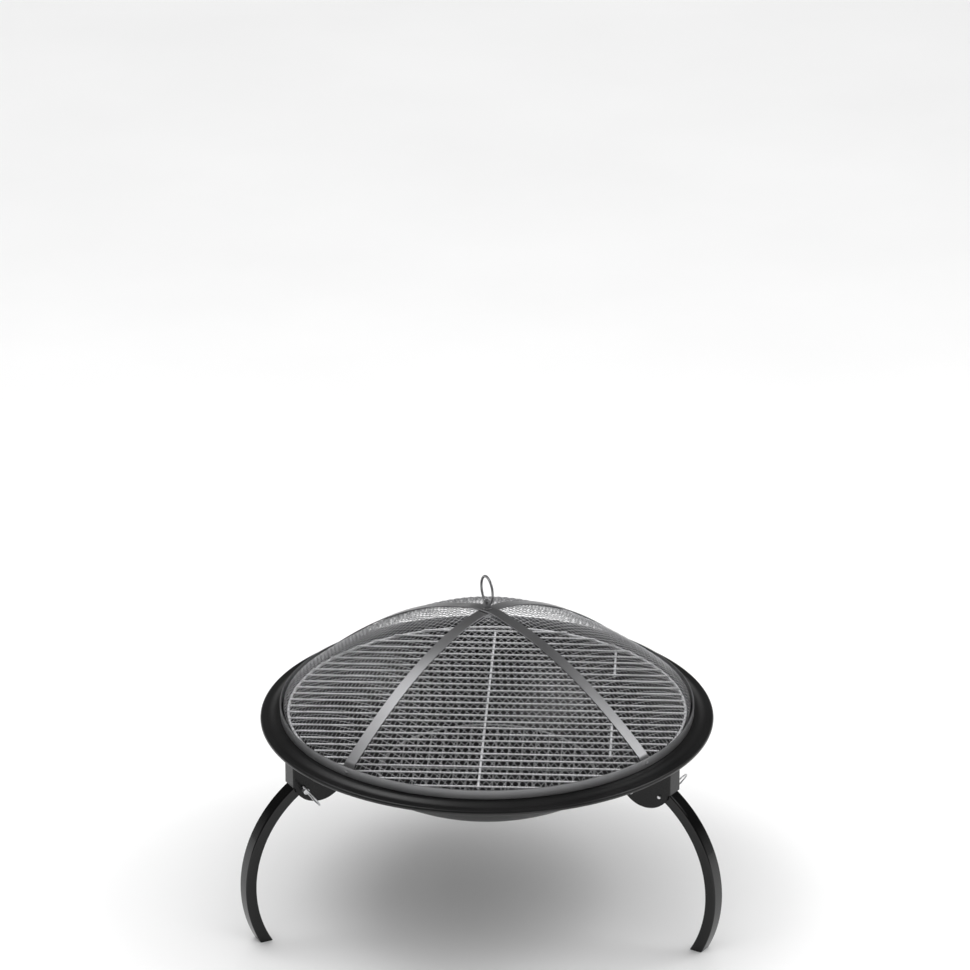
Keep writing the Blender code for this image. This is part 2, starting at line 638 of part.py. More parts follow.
def make_grill():
    wire, bar, tie = GRILL_RING_WIRE / 2, GRILL_ROD_WIRE / 2, GRILL_TIE_WIRE / 2
    # The ring rests on the sides of the groove, so the steeper side sets how far down it goes.
    seat = GROOVE_FLOOR + (wire + GAP) * hypot(1, GROOVE_SLOPE)
    level = Matrix.Translation((0, 0, seat))
    place("grill_ring", ring(GROOVE_RADIUS, GRILL_RING_WIRE, ROUND_STEPS, 6), CHROME, level)
    rise = wire + GAP + bar
    rods = []
    for number in range(GRILL_ROD_COUNT):
        side = (number - (GRILL_ROD_COUNT - 1) / 2) * GRILL_ROD_PITCH
        half = sqrt(GROOVE_RADIUS**2 - (abs(side) + bar) ** 2)
        rods.append(rod(bar, (-half, side, rise), (half, side, rise), 6))
    grill = place("grill_rods", together(*rods), CHROME, level)
    below = rise - bar - tie + GRILL_WELD
    half = (GRILL_ROD_COUNT - 1) / 2 * GRILL_ROD_PITCH + bar
    ties = [rod(tie, (0, -half, below), (0, half, below), 6)]
    for start, end in SHORT_TIE_SPANS:
        spans = [(step + (0.5 if step < 0 else -0.5)) * GRILL_ROD_PITCH for step in (start, end)]
        ends = (spans[0] - bar, spans[1] + bar)
        ties.append(rod(tie, (SHORT_TIE_X, ends[0], below), (SHORT_TIE_X, ends[1], below), 6))
    combine(grill, place("grill_ties", together(*ties), CHROME, level), "UNION")


# ---------------------------------------------------------------- lid


def dome_line(start, steps):
    """Outer face of the mesh dome, from a radius near the top down to the end of its skirt."""
    line = []
    for step in range(steps + 1):
        radius = start + (MESH_RADIUS - start) * step / steps
        line.append((radius, dome_height(radius)))
    line.append((MESH_RADIUS, MESH_FOOT))
    return line


def make_mesh():
    outer = dome_line(MESH_HOLE_RADIUS, 7)
    inner = offset_line(outer, MESH_THICKNESS)
    inner[0] = (MESH_HOLE_RADIUS, inner[0][1])
    place("lid_mesh", turned(outer + inner[::-1], ROUND_STEPS), MESH_GREY)


def strap_line(lift):
    """Lower face of a strap, over the dome and down inside the band, from one end to the other."""
    half = []
    for out, up in dome_line(0.0, 14)[:-1]:
        blend = min(max((out - STRAP_WIDTH) / (2 * STRAP_WIDTH), 0.0), 1.0)
        half.append((out, up + lift * (1 + cos(pi * blend)) / 2))
    half.append((MESH_RADIUS, BAND_FOOT + STRAP_TAB_FOOT))
    return [(-out, up) for out, up in half[:0:-1]] + half


def make_strap(name, turn, lift):
    path = strap_line(lift)
    lower = offset_line(path, -GAP)
    upper = offset_line(path, -GAP - STRAP_THICKNESS)
    pose = Matrix.Rotation(turn, 4, "Z")
    strap = place(name, strip(lower, upper, STRAP_WIDTH / 2), GUNMETAL, pose)
    top = dome_height(0.0)
    reach = MESH_RADIUS + STRAP_THICKNESS + 2 * GAP
    level = BAND_FOOT + BAND_HEIGHT / 2
    drills = [rod(EYE_SHANK / 2 + GAP, (0, 0, top - DRILL_REACH), (0, 0, top + 2 * DRILL_REACH), 16)]
    for side in (-1, 1):
        ends = [(side * (reach + past), 0, level) for past in (-DRILL_REACH, DRILL_REACH)]
        drills.append(rod(LID_RIVET_SHANK / 2 + GAP, *ends, 12))
    combine(strap, place("drill_" + name, together(*drills), GUNMETAL, pose), "DIFFERENCE")


def make_band():
    outer = BAND_INNER + BAND_THICKNESS
    outline = [(BAND_INNER, BAND_FOOT), (outer, BAND_FOOT), (outer, BAND_TOP), (BAND_INNER, BAND_TOP)]
    band = place("lid_band", turned(outline, ROUND_STEPS), GUNMETAL)
    level = BAND_FOOT + BAND_HEIGHT / 2
    drills = []
    for quarter in range(4):
        angle = STRAP_TURN + quarter * pi / 2
        place_at, way = Vector((0, 0, level)), Vector((cos(angle), sin(angle), 0))
        ends = [place_at + way * (outer + past) for past in (-DRILL_REACH, DRILL_REACH)]
        drills.append(rod(LID_RIVET_SHANK / 2 + GAP, *ends, 12))
    combine(band, place("band_drill", together(*drills), GUNMETAL), "DIFFERENCE")


def make_lid_rivets():
    """Each rivet holds a strap's end to the band. Its round head is outside."""
    inner_seat = MESH_RADIUS
    outer_seat = BAND_INNER + BAND_THICKNESS + 2 * GAP
    inner_end, inner_half = inner_seat - LID_RIVET_HEIGHT * 0.7, LID_RIVET_HEAD * 0.42
    outline = [(0.0, inner_end), (inner_half, inner_end), (inner_half, inner_seat)]
    outline += [(LID_RIVET_SHANK / 2, inner_seat)]
    outline += [(LID_RIVET_SHANK / 2, outer_seat), (LID_RIVET_HEAD / 2, outer_seat)]
    outline += [(LID_RIVET_HEAD * 0.36, outer_seat + LID_RIVET_HEIGHT * 0.8)]
    outline += [(0.0, outer_seat + LID_RIVET_HEIGHT)]
    level = BAND_FOOT + BAND_HEIGHT / 2
    for quarter in range(4):
        turn = Matrix.Rotation(STRAP_TURN + quarter * pi / 2, 4, "Z")
        pose = Matrix.Translation((0, 0, level)) @ turn @ Matrix.Rotation(radians(90), 4, "Y")
        place(f"lid_rivet_{quarter + 1}", turned(outline, 12), GUNMETAL, pose)


def make_handle():
    """Eye bolt through both straps, its nut under the mesh, and the ring that hangs in the eye."""
    cross_drop = dome_height(0.0) - dome_height(STRAP_WIDTH / 2)
    collar_foot = dome_height(0.0) + STRAP_THICKNESS * 2 + 3 * GAP + cross_drop
    collar_top = collar_foot + EYE_COLLAR_HEIGHT
    nut_top = dome_height(MESH_HOLE_RADIUS) - MESH_THICKNESS - 2 * GAP
    tip = nut_top - EYE_NUT_HEIGHT - EYE_PAST_NUT
    shank = [(0.0, tip), (EYE_SHANK / 2, tip), (EYE_SHANK / 2, collar_foot)]
    shank += [(EYE_COLLAR_RADIUS, collar_foot), (EYE_COLLAR_RADIUS, collar_top), (0.0, collar_top)]
    pose = Matrix.Rotation(HANDLE_TURN, 4, "Z")
    eye = place("lid_eye_bolt", turned(shank, 18), GUNMETAL, pose)
    hole_up = collar_top + EYE_LUG_RISE
    wide = EYE_LUG_WIDTH / 2
    lug = [(wide, hole_up), *arc((0.0, hole_up), wide, 0, pi, 10)[1:]]
    lug += [(-wide, collar_top - EYE_COLLAR_HEIGHT / 2), (wide, collar_top - EYE_COLLAR_HEIGHT / 2)]
    across = pose @ Matrix.Rotation(radians(90), 4, "Z")
    combine(eye, place("eye_lug", extruded(lug, EYE_LUG_THICKNESS / 2), GUNMETAL, across), "UNION")
    ends = [(past, 0, hole_up) for past in (-DRILL_REACH, DRILL_REACH)]
    bore = rod(HANDLE_RING_WIRE / 2 + HANDLE_CLEARANCE, *ends, 16)
    combine(eye, place("eye_bore", bore, GUNMETAL, pose), "DIFFERENCE")
    nut_pose = Matrix.Translation((0, 0, nut_top - EYE_NUT_HEIGHT / 2))
    nut = place("lid_eye_nut", hexagon(EYE_NUT_ACROSS, EYE_NUT_HEIGHT), ZINC, nut_pose)
    thread = rod(EYE_SHANK / 2 + GAP, (0, 0, -DRILL_REACH), (0, 0, DRILL_REACH), 16)
    combine(nut, place("eye_nut_bore", thread, ZINC, nut_pose), "DIFFERENCE")
    # The ring's origin is on the axis that it tips about, the middle of the eye's hole.
    loop = ring(HANDLE_RING_RADIUS, HANDLE_RING_WIRE, 28, 6)
    stand = Matrix.Translation((0, 0, HANDLE_RING_RADIUS)) @ Matrix.Rotation(radians(90), 4, "X")
    bmesh.ops.transform(loop, matrix=stand, verts=loop.verts[:])
    place("lid_handle_ring", loop, GUNMETAL, Matrix.Translation((0, 0, hole_up)) @ pose)


def make_lid():
    make_band()
    make_mesh()
    make_strap("lid_strap_under", STRAP_TURN, 0.0)
    cross_drop = dome_height(0.0) - dome_height(STRAP_WIDTH / 2)
    make_strap("lid_strap_over", STRAP_TURN + pi / 2, STRAP_THICKNESS + GAP + cross_drop)
    make_lid_rivets()
    make_handle()


# ---------------------------------------------------------------- whole object


def main():
    for thing in list(bpy.data.objects):
        bpy.data.objects.remove(thing)
    make_bowl()
    for index in range(LEG_COUNT):
        name = LEG_NAMES[index]
        make_bracket(index, name)
        make_bracket_bolts(index, name)
        make_spacer_rivet(index, name)
        make_leg(index, name)
        make_leg_pin(index, name)
    make_grate()
    make_grill()
    make_lid()


main()
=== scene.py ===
"""Looks of the folding fire pit: fine meshes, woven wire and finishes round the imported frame.

Metres, +Z up. The origin is the centre of the bowl's flat floor, as in the frame.
Every visible piece rides on the body of the node that it stands for.
"""

import json
from math import asin, atan2, cos, hypot, pi, radians, sin, sqrt

import bmesh
import bpy
from mathutils import Matrix, Vector


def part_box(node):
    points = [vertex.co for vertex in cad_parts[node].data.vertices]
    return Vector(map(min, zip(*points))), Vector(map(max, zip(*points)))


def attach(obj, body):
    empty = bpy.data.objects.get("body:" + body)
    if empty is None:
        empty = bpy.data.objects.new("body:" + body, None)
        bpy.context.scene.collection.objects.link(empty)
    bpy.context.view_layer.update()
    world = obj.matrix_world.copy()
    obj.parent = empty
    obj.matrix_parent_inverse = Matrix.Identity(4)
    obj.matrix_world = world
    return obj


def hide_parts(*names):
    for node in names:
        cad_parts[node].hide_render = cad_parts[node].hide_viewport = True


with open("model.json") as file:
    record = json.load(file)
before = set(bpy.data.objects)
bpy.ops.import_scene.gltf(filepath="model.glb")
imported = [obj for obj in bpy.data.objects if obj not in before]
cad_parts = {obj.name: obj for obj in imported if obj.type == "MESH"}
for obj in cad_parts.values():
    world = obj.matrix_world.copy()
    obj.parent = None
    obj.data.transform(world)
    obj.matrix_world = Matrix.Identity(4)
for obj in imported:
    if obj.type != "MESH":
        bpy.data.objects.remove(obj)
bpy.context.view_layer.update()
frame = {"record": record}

BODIES = frame["record"]["behaviour"]["bodies"]
BODY_OF = {node: body for body, nodes in BODIES.items() for node in nodes}

# ---------------------------------------------------------------- sizes, as the frame has them

GAP = 0.0003                    # left between two pieces that touch
SHEET = 0.0015                  # of the bowl
FLOOR_RADIUS = 0.0950
RIM_RADIUS = 0.280
WALL_TOP_RADIUS = 0.2345
WALL_TOP_SLOPE = radians(51.4)  # the wall is part of a sphere, this steep at its top
WALL_ARC_RADIUS = WALL_TOP_RADIUS / sin(WALL_TOP_SLOPE)
RIDGE = (0.0050, 0.0076)        # beads of the rim, out from and up from the top of the wall
GROOVE = (0.0107, 0.0036)
CREST = (0.0163, 0.0090)
LEDGE = (0.0193, 0.0066)
LEDGE_END_OUT = 0.0242
STEP_IN, STEP_DOWN = 0.0085, 0.0040
HEM_RADIUS = 0.0030
HEM_END = -pi * 1.02            # where the hem's roll ends
FLOOR_CORNER = 0.0060           # each way from the fold between floor and wall
WALL_END = asin(WALL_TOP_RADIUS / WALL_ARC_RADIUS)
WALL_CENTRE = sqrt(WALL_ARC_RADIUS**2 - FLOOR_RADIUS**2)
WALL_TOP = WALL_CENTRE - sqrt(WALL_ARC_RADIUS**2 - WALL_TOP_RADIUS**2)
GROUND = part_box("leg_back")[0].z

BAND_INNER = WALL_TOP_RADIUS + LEDGE[0] + GAP
BAND_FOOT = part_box("lid_band")[0].z
BAND_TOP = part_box("lid_band")[1].z
BAND_THICKNESS = 0.0016
DOME_HEIGHT = 0.120
DOME_POWER = 1.75
DOME_BASE = BAND_TOP - 0.0010
MESH_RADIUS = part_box("lid_mesh")[1].x
MESH_THICKNESS = 0.0010
MESH_SKIRT = 0.0022             # how far the mesh goes down inside the band
MESH_EDGE = 0.0040              # no wire crosses the dome nearer to its edge than this
WIRE_PITCH = 0.0062
WIRE_RADIUS = 0.00031
WEAVE_SWAY = WIRE_RADIUS * 0.95  # how far a wire goes over and under the others
STRAP_WIDTH = 0.0160
STRAP_THICKNESS = 0.0015
STRAP_EDGE, BAND_EDGE = 0.0006, 0.0005  # radii of the soft edges
STRAP_TURN = radians(51.5)
STRAP_BEND = 0.0035             # from the dome's edge down to the end of a strap's bend
STRAP_TAB_FOOT = 0.0038         # from the band's lower edge to the end of a strap
LID_RIVET_HEAD = 0.0056
LID_RIVET_SHANK = 0.0030
LID_RIVET_HEIGHT = 0.0012
LID_RIVET_TAIL = LID_RIVET_HEAD * 0.84
LID_RIVET_TAIL_HEIGHT = 0.0008
EYE_SHANK = 0.0060
EYE_COLLAR_RADIUS = 0.0060
EYE_COLLAR_HEIGHT = 0.0015
EYE_LUG_WIDTH = 0.0094
EYE_LUG_THICKNESS = 0.0030
EYE_LUG_RISE = 0.0052
EYE_EDGE = 0.0005               # soft edges of the eye
EYE_NUT_ACROSS = 0.0100
HANDLE_RING_RADIUS = 0.0174
HANDLE_RING_WIRE = 0.0032
HANDLE_CLEARANCE = 0.0005
HANDLE_TURN = radians(116.0)

LEG_NAMES = ("back", "left", "right")
LEG_ARC_RADIUS = 0.1563
LEG_DEPTH = 0.0143
LEG_WIDTH = 0.0190
LEG_WALL = 0.0015
LEG_CORNER = 0.0020
LEG_STEPS = 64                  # stations along the bend
LEG_TOP_STEPS = 12              # and over the round top
LEG_TOP_SWEEP = radians(88)
PLATE = 0.0020
PLATE_BEND = 0.0022
PIVOT_OUT, PIVOT_UP = WALL_TOP_RADIUS + 0.0215, WALL_TOP - 0.0419
PIVOT_FROM_ARC = LEG_ARC_RADIUS - 0.0103
LEG_TOP_TURN = radians(57.85)
LEG_ARC_OUT = PIVOT_OUT - PIVOT_FROM_ARC * cos(LEG_TOP_TURN)
LEG_ARC_UP = PIVOT_UP - PIVOT_FROM_ARC * sin(LEG_TOP_TURN)
BRACKET_ARC = (WALL_TOP_RADIUS + 0.0010, WALL_TOP - 0.0242)  # middle of its round lower edge
BRACKET_ARC_RADIUS = 0.0369
BRACKET_ARC_TURNS = (radians(-34), radians(-146))
BRACKET_INNER_OUT = WALL_TOP_RADIUS - 0.0295
BRACKET_TOP_OUT = WALL_TOP_RADIUS + 0.0115
BRACKET_TOP = WALL_TOP + GROOVE[1] - SHEET - 0.0040
BRACKET_CORNER_IN, BRACKET_CORNER_OUT = 0.0030, 0.0040  # soft upper corner, from its point
BRACKET_INSIDE = LEG_WIDTH / 2 + 0.0010
BRACKET_OUTSIDE = BRACKET_INSIDE + PLATE
FLANGE_INNER_ARC = WALL_ARC_RADIUS + SHEET + GAP
FLANGE_OUTER_OUT = WALL_TOP_RADIUS - 0.0045
FLANGE_HALF_WIDTH = 0.0360
SPACER = (WALL_TOP_RADIUS - 0.0191, WALL_TOP - 0.0446)  # middle of the spacer rivet, (out, up)
SPACER_SHANK, SPACER_HEAD, SPACER_HEAD_HEIGHT = 0.0050, 0.0080, 0.0014
WEB_INNER = PIVOT_OUT + 0.0125
WEB_OUTER = WEB_INNER + PLATE
WEB_FOOT_GAP = 0.0004           # between the web and the open leg that it stops
WEB_FOOT = LEG_ARC_UP + sqrt(LEG_ARC_RADIUS**2 - (WEB_INNER - LEG_ARC_OUT) ** 2) + WEB_FOOT_GAP
BOLT_OUT = WALL_TOP_RADIUS - 0.0165
BOLT_SPACING = 0.0490
BOLT_SHANK, BOLT_HEAD, BOLT_HEAD_HEIGHT = 0.0060, 0.0110, 0.0032
BOLT_BORE_ENDS = (-0.004, 0.006)  # from the sheet's inner face, out of the bowl
BOLT_TIP, BOLT_TIP_CHAMFER = 0.0020, 0.0006
HEAD_STEPS = 8
HEAD_FULLNESS = 0.7             # below 1, a bolt's head is fuller than a ball
HEAD_RIM = 0.12                 # straight part at its edge, as a share of its height
RECESS = (0.0056, 0.0011, 0.0030)  # one arm of the cross: length, width, height
NUT_ACROSS, NUT_HEIGHT, NUT_CHAMFER = 0.0100, 0.0050, 0.0005
PIN_SHANK, PIN_HEAD, PIN_HEAD_LENGTH, PIN_TIP = 0.0050, 0.0080, 0.0070, 0.0022
PIN_HEAD_EDGE = 0.0009
PIN_HOLE_AT = PIN_HEAD_LENGTH * 0.6  # hole for the ring, from the seat of the head
PULL_RING_RADIUS, PULL_RING_WIRE = 0.0150, 0.0020
PULL_RING_LEAN = radians(236.5)

GRATE_RADIUS = 0.1350
GRATE_RING_WIRE = 0.0032
GRATE_ROD_WIRE = 0.0022
GRATE_ROD_COUNT = 14
GRATE_ROD_MARGIN = 0.0277       # from the ring's outer edge to the outermost rods
GRATE_ROD_PITCH = 2 * (GRATE_RADIUS - GRATE_ROD_MARGIN) / (GRATE_ROD_COUNT - 1)
GRATE_CROSS_OVERHANG = 0.0095
ROD_SHORT, WELD_SHORT = 0.4, 0.7  # in radii of the ring's wire: end of a rod short of the
                                # wire's middle, and its weld short of that end
GRATE_LEVEL = sum(corner.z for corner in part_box("grate_ring")) / 2
GROOVE_RADIUS = WALL_TOP_RADIUS + GROOVE[0]
GRILL_RING_WIRE = 0.0034
GRILL_ROD_WIRE = 0.0024
GRILL_TIE_WIRE = 0.0030
GRILL_ROD_COUNT = 26
GRILL_ROD_MARGIN = 0.0190       # from the ring to the outermost rods
GRILL_ROD_PITCH = 2 * (GROOVE_RADIUS - GRILL_ROD_MARGIN) / (GRILL_ROD_COUNT - 1)
GRILL_WELD = 0.0006             # how far a tie reaches into the rods over it
GRILL_BEAD_IN = 0.0010          # from the ring's middle line to the weld beads
GRILL_LEVEL = sum(corner.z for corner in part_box("grill_ring")) / 2
SHORT_TIE_SPANS = ((-8, -3), (6, 10))  # in rod pitches from the middle
SHORT_TIE_INSET = 0.01835       # from the ring to the outer end of the longer short tie
SHORT_TIE_REACH = (SHORT_TIE_SPANS[-1][1] - 0.5) * GRILL_ROD_PITCH + GRILL_ROD_WIRE / 2
SHORT_TIE_X = sqrt(GROOVE_RADIUS**2 - SHORT_TIE_REACH**2) - SHORT_TIE_INSET

RIM_BEAD = (1.35, 1.05)         # weld beads: radius and half height, in radii of the rod
CROSS_BEAD = (1.2, 0.55)
GRILL_BEAD = (1.1, 0.5)

ROUND = 192                     # flats round the bowl and the lid's band
FINE = 40                       # flats round a bolt or a pin
BORE, BOLT_BORE = 32, 24        # flats round a bore
RIVET = 32                      # flats round a rivet of the lid
LOOP = 72                       # flats round a pull ring
GRATE_ROUND = 144               # flats round the charcoal grate
HANDLE_ROUND, HANDLE_SIDES = 96, 20  # flats round the lid's handle, and round its wire
ROD_SIDES = 14                  # flats round a rod of the grate and the grill
WIRE_SIDES = 5                  # flats round a wire of the mesh
END_STEPS = 4                   # over a domed end of a rod
ROD_DOME, TIE_DOME = 0.6, 0.5   # height of such an end, in radii of the bar
PAST = 0.01                     # reach of the cutters for bores, well beyond what they cut
TINY = 1e-6


def wall_height(radius, arc_radius=WALL_ARC_RADIUS):
    return WALL_CENTRE - sqrt(arc_radius**2 - radius**2)


def dome_height(radius):
    return DOME_BASE + DOME_HEIGHT * (1 - min(radius / MESH_RADIUS, 1.0) ** DOME_POWER)


# How far the lower strap falls over half its width, which the upper one has to clear.
CROSS_DROP = dome_height(0.0) - dome_height(STRAP_WIDTH / 2)


# ---------------------------------------------------------------- mesh tools


def turned(outline, steps):
    """Turns a closed outline of (radius, height) points round the Z axis."""
    mesh = bmesh.new()
    rings = []
    for radius, height in outline:
        if radius < TINY:
            rings.append([mesh.verts.new((0, 0, height))] * steps)
            continue
        turns = [2 * pi * step / steps for step in range(steps)]
        rings.append([mesh.verts.new((radius * cos(t), radius * sin(t), height)) for t in turns])
    for one, two in zip(rings, rings[1:] + rings[:1]):
        for step in range(steps):
            after = (step + 1) % steps
            corners = list(dict.fromkeys([one[step], one[after], two[after], two[step]]))
            if len(corners) > 2:
                mesh.faces.new(corners)
    return mesh


def extruded(outline, half_width):
    """Extrudes an (out, up) outline both ways along Y, as a solid with flat sides."""
    mesh = bmesh.new()
    near = [mesh.verts.new((out, -half_width, up)) for out, up in outline]
    far = [mesh.verts.new((out, half_width, up)) for out, up in outline]
    mesh.faces.new(near)
    mesh.faces.new(far[::-1])
    for index in range(len(outline)):
        after = (index + 1) % len(outline)
        mesh.faces.new([near[after], near[index], far[index], far[after]])
    return mesh


def tube(points, section, side):
    """Sweeps a section of (sideways, up) points along a line of points.

    Sideways is the way given, all along.
    """
    mesh = bmesh.new()
    side = Vector(side).normalized()
    stations = []
    for index, point in enumerate(points):
        ahead = points[min(index + 1, len(points) - 1)] - points[max(index - 1, 0)]
        up = side.cross(ahead).normalized()
        stations.append([mesh.verts.new(point + side * a + up * b) for a, b in section])
    count = len(section)
    for one, two in zip(stations, stations[1:]):
        for index in range(count):
            after = (index + 1) % count
            mesh.faces.new([one[index], one[after], two[after], two[index]])
    mesh.faces.new(stations[0][::-1])
    mesh.faces.new(stations[-1])
    return mesh


def circle(radius, sides):
    turns = [2 * pi * index / sides for index in range(sides)]
    return [(radius * cos(turn), radius * sin(turn)) for turn in turns]


def rod(radius, start, end, sides=16, round_end=0.0):
    """A round bar from one point to another. Its ends are domed by round_end, or flat."""
    start, end = Vector(start), Vector(end)
    length = (end - start).length
    outline = [(0.0, 0.0)]
    if round_end:
        for step in range(1, END_STEPS + 1):
            turn = pi / 2 * step / END_STEPS
            outline.append((radius * sin(turn), round_end * (1 - cos(turn))))
        outline += [(r, length - z) for r, z in outline[:0:-1]]
    else:
        outline += [(radius, 0.0), (radius, length)]
    outline.append((0.0, length))
    mesh = turned(outline, sides)
    turn = Vector((0, 0, 1)).rotation_difference(end - start).to_matrix().to_4x4()
    bmesh.ops.transform(mesh, matrix=Matrix.Translation(start) @ turn, verts=mesh.verts[:])
    return mesh


def ring(radius, wire, steps, sides=16):
    """A round ring of wire, lying flat."""
    return turned([(radius + a, b) for a, b in circle(wire / 2, sides)], steps)


def together(*meshes):
    """Puts several meshes into one, as separate shells."""
    whole = bmesh.new()
    for mesh in meshes:
        data = bpy.data.meshes.new("shell")
        mesh.to_mesh(data)
        mesh.free()
        whole.from_mesh(data)
        bpy.data.meshes.remove(data)
    return whole


def bead(centre, bar, shape):
    """A weld bead: a small flattened ball, sized from the radius of the rod."""
    mesh = bmesh.new()
    radius, height = bar * shape[0], bar * shape[1]
    pose = Matrix.Translation(centre) @ Matrix.Diagonal((1, 1, height / radius, 1))
    bmesh.ops.create_uvsphere(mesh, u_segments=12, v_segments=8, radius=radius, matrix=pose)
    return mesh


def arc(centre, radius, start, end, steps):
    """Points on part of a circle, from one angle to another."""
    turns = [start + (end - start) * step / steps for step in range(steps + 1)]
    return [(centre[0] + radius * cos(t), centre[1] + radius * sin(t)) for t in turns]


def curve_through(start, corner, end, steps):
    """A soft corner: a quadratic curve from start to end, drawn towards the corner."""
    points = []
    for step in range(steps + 1):
        t = step / steps
        parts = zip(start, corner, end)
        points.append(tuple((1 - t) ** 2 * a + 2 * t * (1 - t) * b + t**2 * c for a, b, c in parts))
    return points


def offset_line(points, distance):
    """Moves a line of (out, up) points sideways, to its right as it runs."""
    moved = []
    for index, (out, up) in enumerate(points):
        before, after = points[max(index - 1, 0)], points[min(index + 1, len(points) - 1)]
        ways = []
        for one, two in ((before, (out, up)), ((out, up), after)):
            length = hypot(two[0] - one[0], two[1] - one[1])
            if length > TINY:
                ways.append(((two[1] - one[1]) / length, -(two[0] - one[0]) / length))
        right = (sum(way[0] for way in ways), sum(way[1] for way in ways))
        length = hypot(*right)
        right = (right[0] / length, right[1] / length)
        spread = right[0] * ways[0][0] + right[1] * ways[0][1]
        moved.append((out + right[0] * distance / spread, up + right[1] * distance / spread))
    return moved


def place(name, data):
    thing = bpy.data.objects.new(name, data)
    bpy.context.scene.collection.objects.link(thing)
    return thing


def solid(name, mesh, matrix=None):
    """Makes an object of a mesh, with its faces turned outwards."""
    bmesh.ops.recalc_face_normals(mesh, faces=mesh.faces[:])
    data = bpy.data.meshes.new(name)
    mesh.to_mesh(data)
    mesh.free()
    thing = place(name, data)
    thing.matrix_world = matrix or Matrix()
    return thing


def combine(thing, mesh, operation, matrix=None):
    """Cuts or joins a mesh into the thing, and keeps only the result."""
    other = solid("tool", mesh, matrix)
    modifier = thing.modifiers.new("combine", "BOOLEAN")
    modifier.object = other
    modifier.operation = operation
    bpy.context.view_layer.update()
    graph = bpy.context.evaluated_depsgraph_get()
    result = bpy.data.meshes.new_from_object(thing.evaluated_get(graph))
    thing.modifiers.clear()
    thing.data = result
    bpy.data.objects.remove(other)


def dress(thing, look, *nodes, smooth_angle=radians(32)):
    """Gives a piece its finish, hangs it on the body of its nodes and hides those nodes."""
    thing.data.shade_smooth()
    thing.data.set_sharp_from_angle(angle=smooth_angle)
    even = thing.modifiers.new("even_normals", "WEIGHTED_NORMAL")
    even.keep_sharp = True
    thing.data.materials.clear()
    thing.data.materials.append(look)
    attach(thing, BODY_OF[nodes[0]])
    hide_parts(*nodes)
    return thing


def leg_frame(index):
    """Turns (out, side, up) of one leg into the part's own frame."""
    return Matrix.Rotation(radians(90) + 2 * pi * index / len(LEG_NAMES), 4, "Z")


def wall_point(out, side, from_centre):
    """A place on a sphere round the wall's centre, and the way straight out of the wall there."""
    way = Vector((out, side, wall_height(hypot(out, side)) - WALL_CENTRE)).normalized()
    return Vector((0, 0, WALL_CENTRE)) + way * from_centre, way


# ---------------------------------------------------------------- finishes


DRIFT_EDGES = (0.32, 0.68)      # of the noise, where the colour is fully dark and fully light
GRAIN_EDGES = (0.3, 0.7)        # where the roughness is lowest and highest
DRIFT_DETAIL, GRAIN_DETAIL = 5.0, 3.0
GRAIN_DEPTH = 0.0002


def surface(name, dark, light, rough, metallic, drift=9.0, grain=700.0, bump=0.1, shine=0.5):
    """Colour drifts slowly between dark and light, and a fine grain moves roughness and height.

    drift and grain are the scales of the two noises, bump is the strength of the grain and
    shine is the specular level.
    """
    made = bpy.data.materials.new(name)
    made.use_nodes = True
    nodes, links = made.node_tree.nodes, made.node_tree.links
    shader = nodes["Principled BSDF"]
    shader.inputs["Metallic"].default_value = metallic
    shader.inputs["Specular IOR Level"].default_value = shine
    spot = nodes.new("ShaderNodeTexCoord")
    slow = nodes.new("ShaderNodeTexNoise")
    slow.inputs["Scale"].default_value = drift
    slow.inputs["Detail"].default_value = DRIFT_DETAIL
    links.new(spot.outputs["Object"], slow.inputs["Vector"])
    ramp = nodes.new("ShaderNodeValToRGB")
    for stop, edge, colour in zip(ramp.color_ramp.elements, DRIFT_EDGES, (dark, light)):
        stop.position = edge
        stop.color = (*colour, 1)
    links.new(slow.outputs["Fac"], ramp.inputs["Fac"])
    links.new(ramp.outputs["Color"], shader.inputs["Base Color"])
    fine = nodes.new("ShaderNodeTexNoise")
    fine.inputs["Scale"].default_value = grain
    fine.inputs["Detail"].default_value = GRAIN_DETAIL
    links.new(spot.outputs["Object"], fine.inputs["Vector"])
    # The roughness follows the mean of the two noises.
    blend = nodes.new("ShaderNodeMath")
    blend.operation = "MULTIPLY_ADD"
    blend.inputs[1].default_value = 0.5
    links.new(fine.outputs["Fac"], blend.inputs[0])
    half = nodes.new("ShaderNodeMath")
    half.operation = "MULTIPLY"
    half.inputs[1].default_value = 0.5
    links.new(slow.outputs["Fac"], half.inputs[0])
    links.new(half.outputs["Value"], blend.inputs[2])
    spread = nodes.new("ShaderNodeMapRange")
    spread.inputs["From Min"].default_value = GRAIN_EDGES[0]
    spread.inputs["From Max"].default_value = GRAIN_EDGES[1]
    spread.inputs["To Min"].default_value = rough[0]
    spread.inputs["To Max"].default_value = rough[1]
    links.new(blend.outputs["Value"], spread.inputs["Value"])
    links.new(spread.outputs["Result"], shader.inputs["Roughness"])
    height = nodes.new("ShaderNodeBump")
    height.inputs["Strength"].default_value = bump
    height.inputs["Distance"].default_value = GRAIN_DEPTH
    links.new(fine.outputs["Fac"], height.inputs["Height"])
    links.new(height.outputs["Normal"], shader.inputs["Normal"])
    return made


def grey(value):
    """A grey that is a touch blue."""
    return (value, value, value * 1.02)


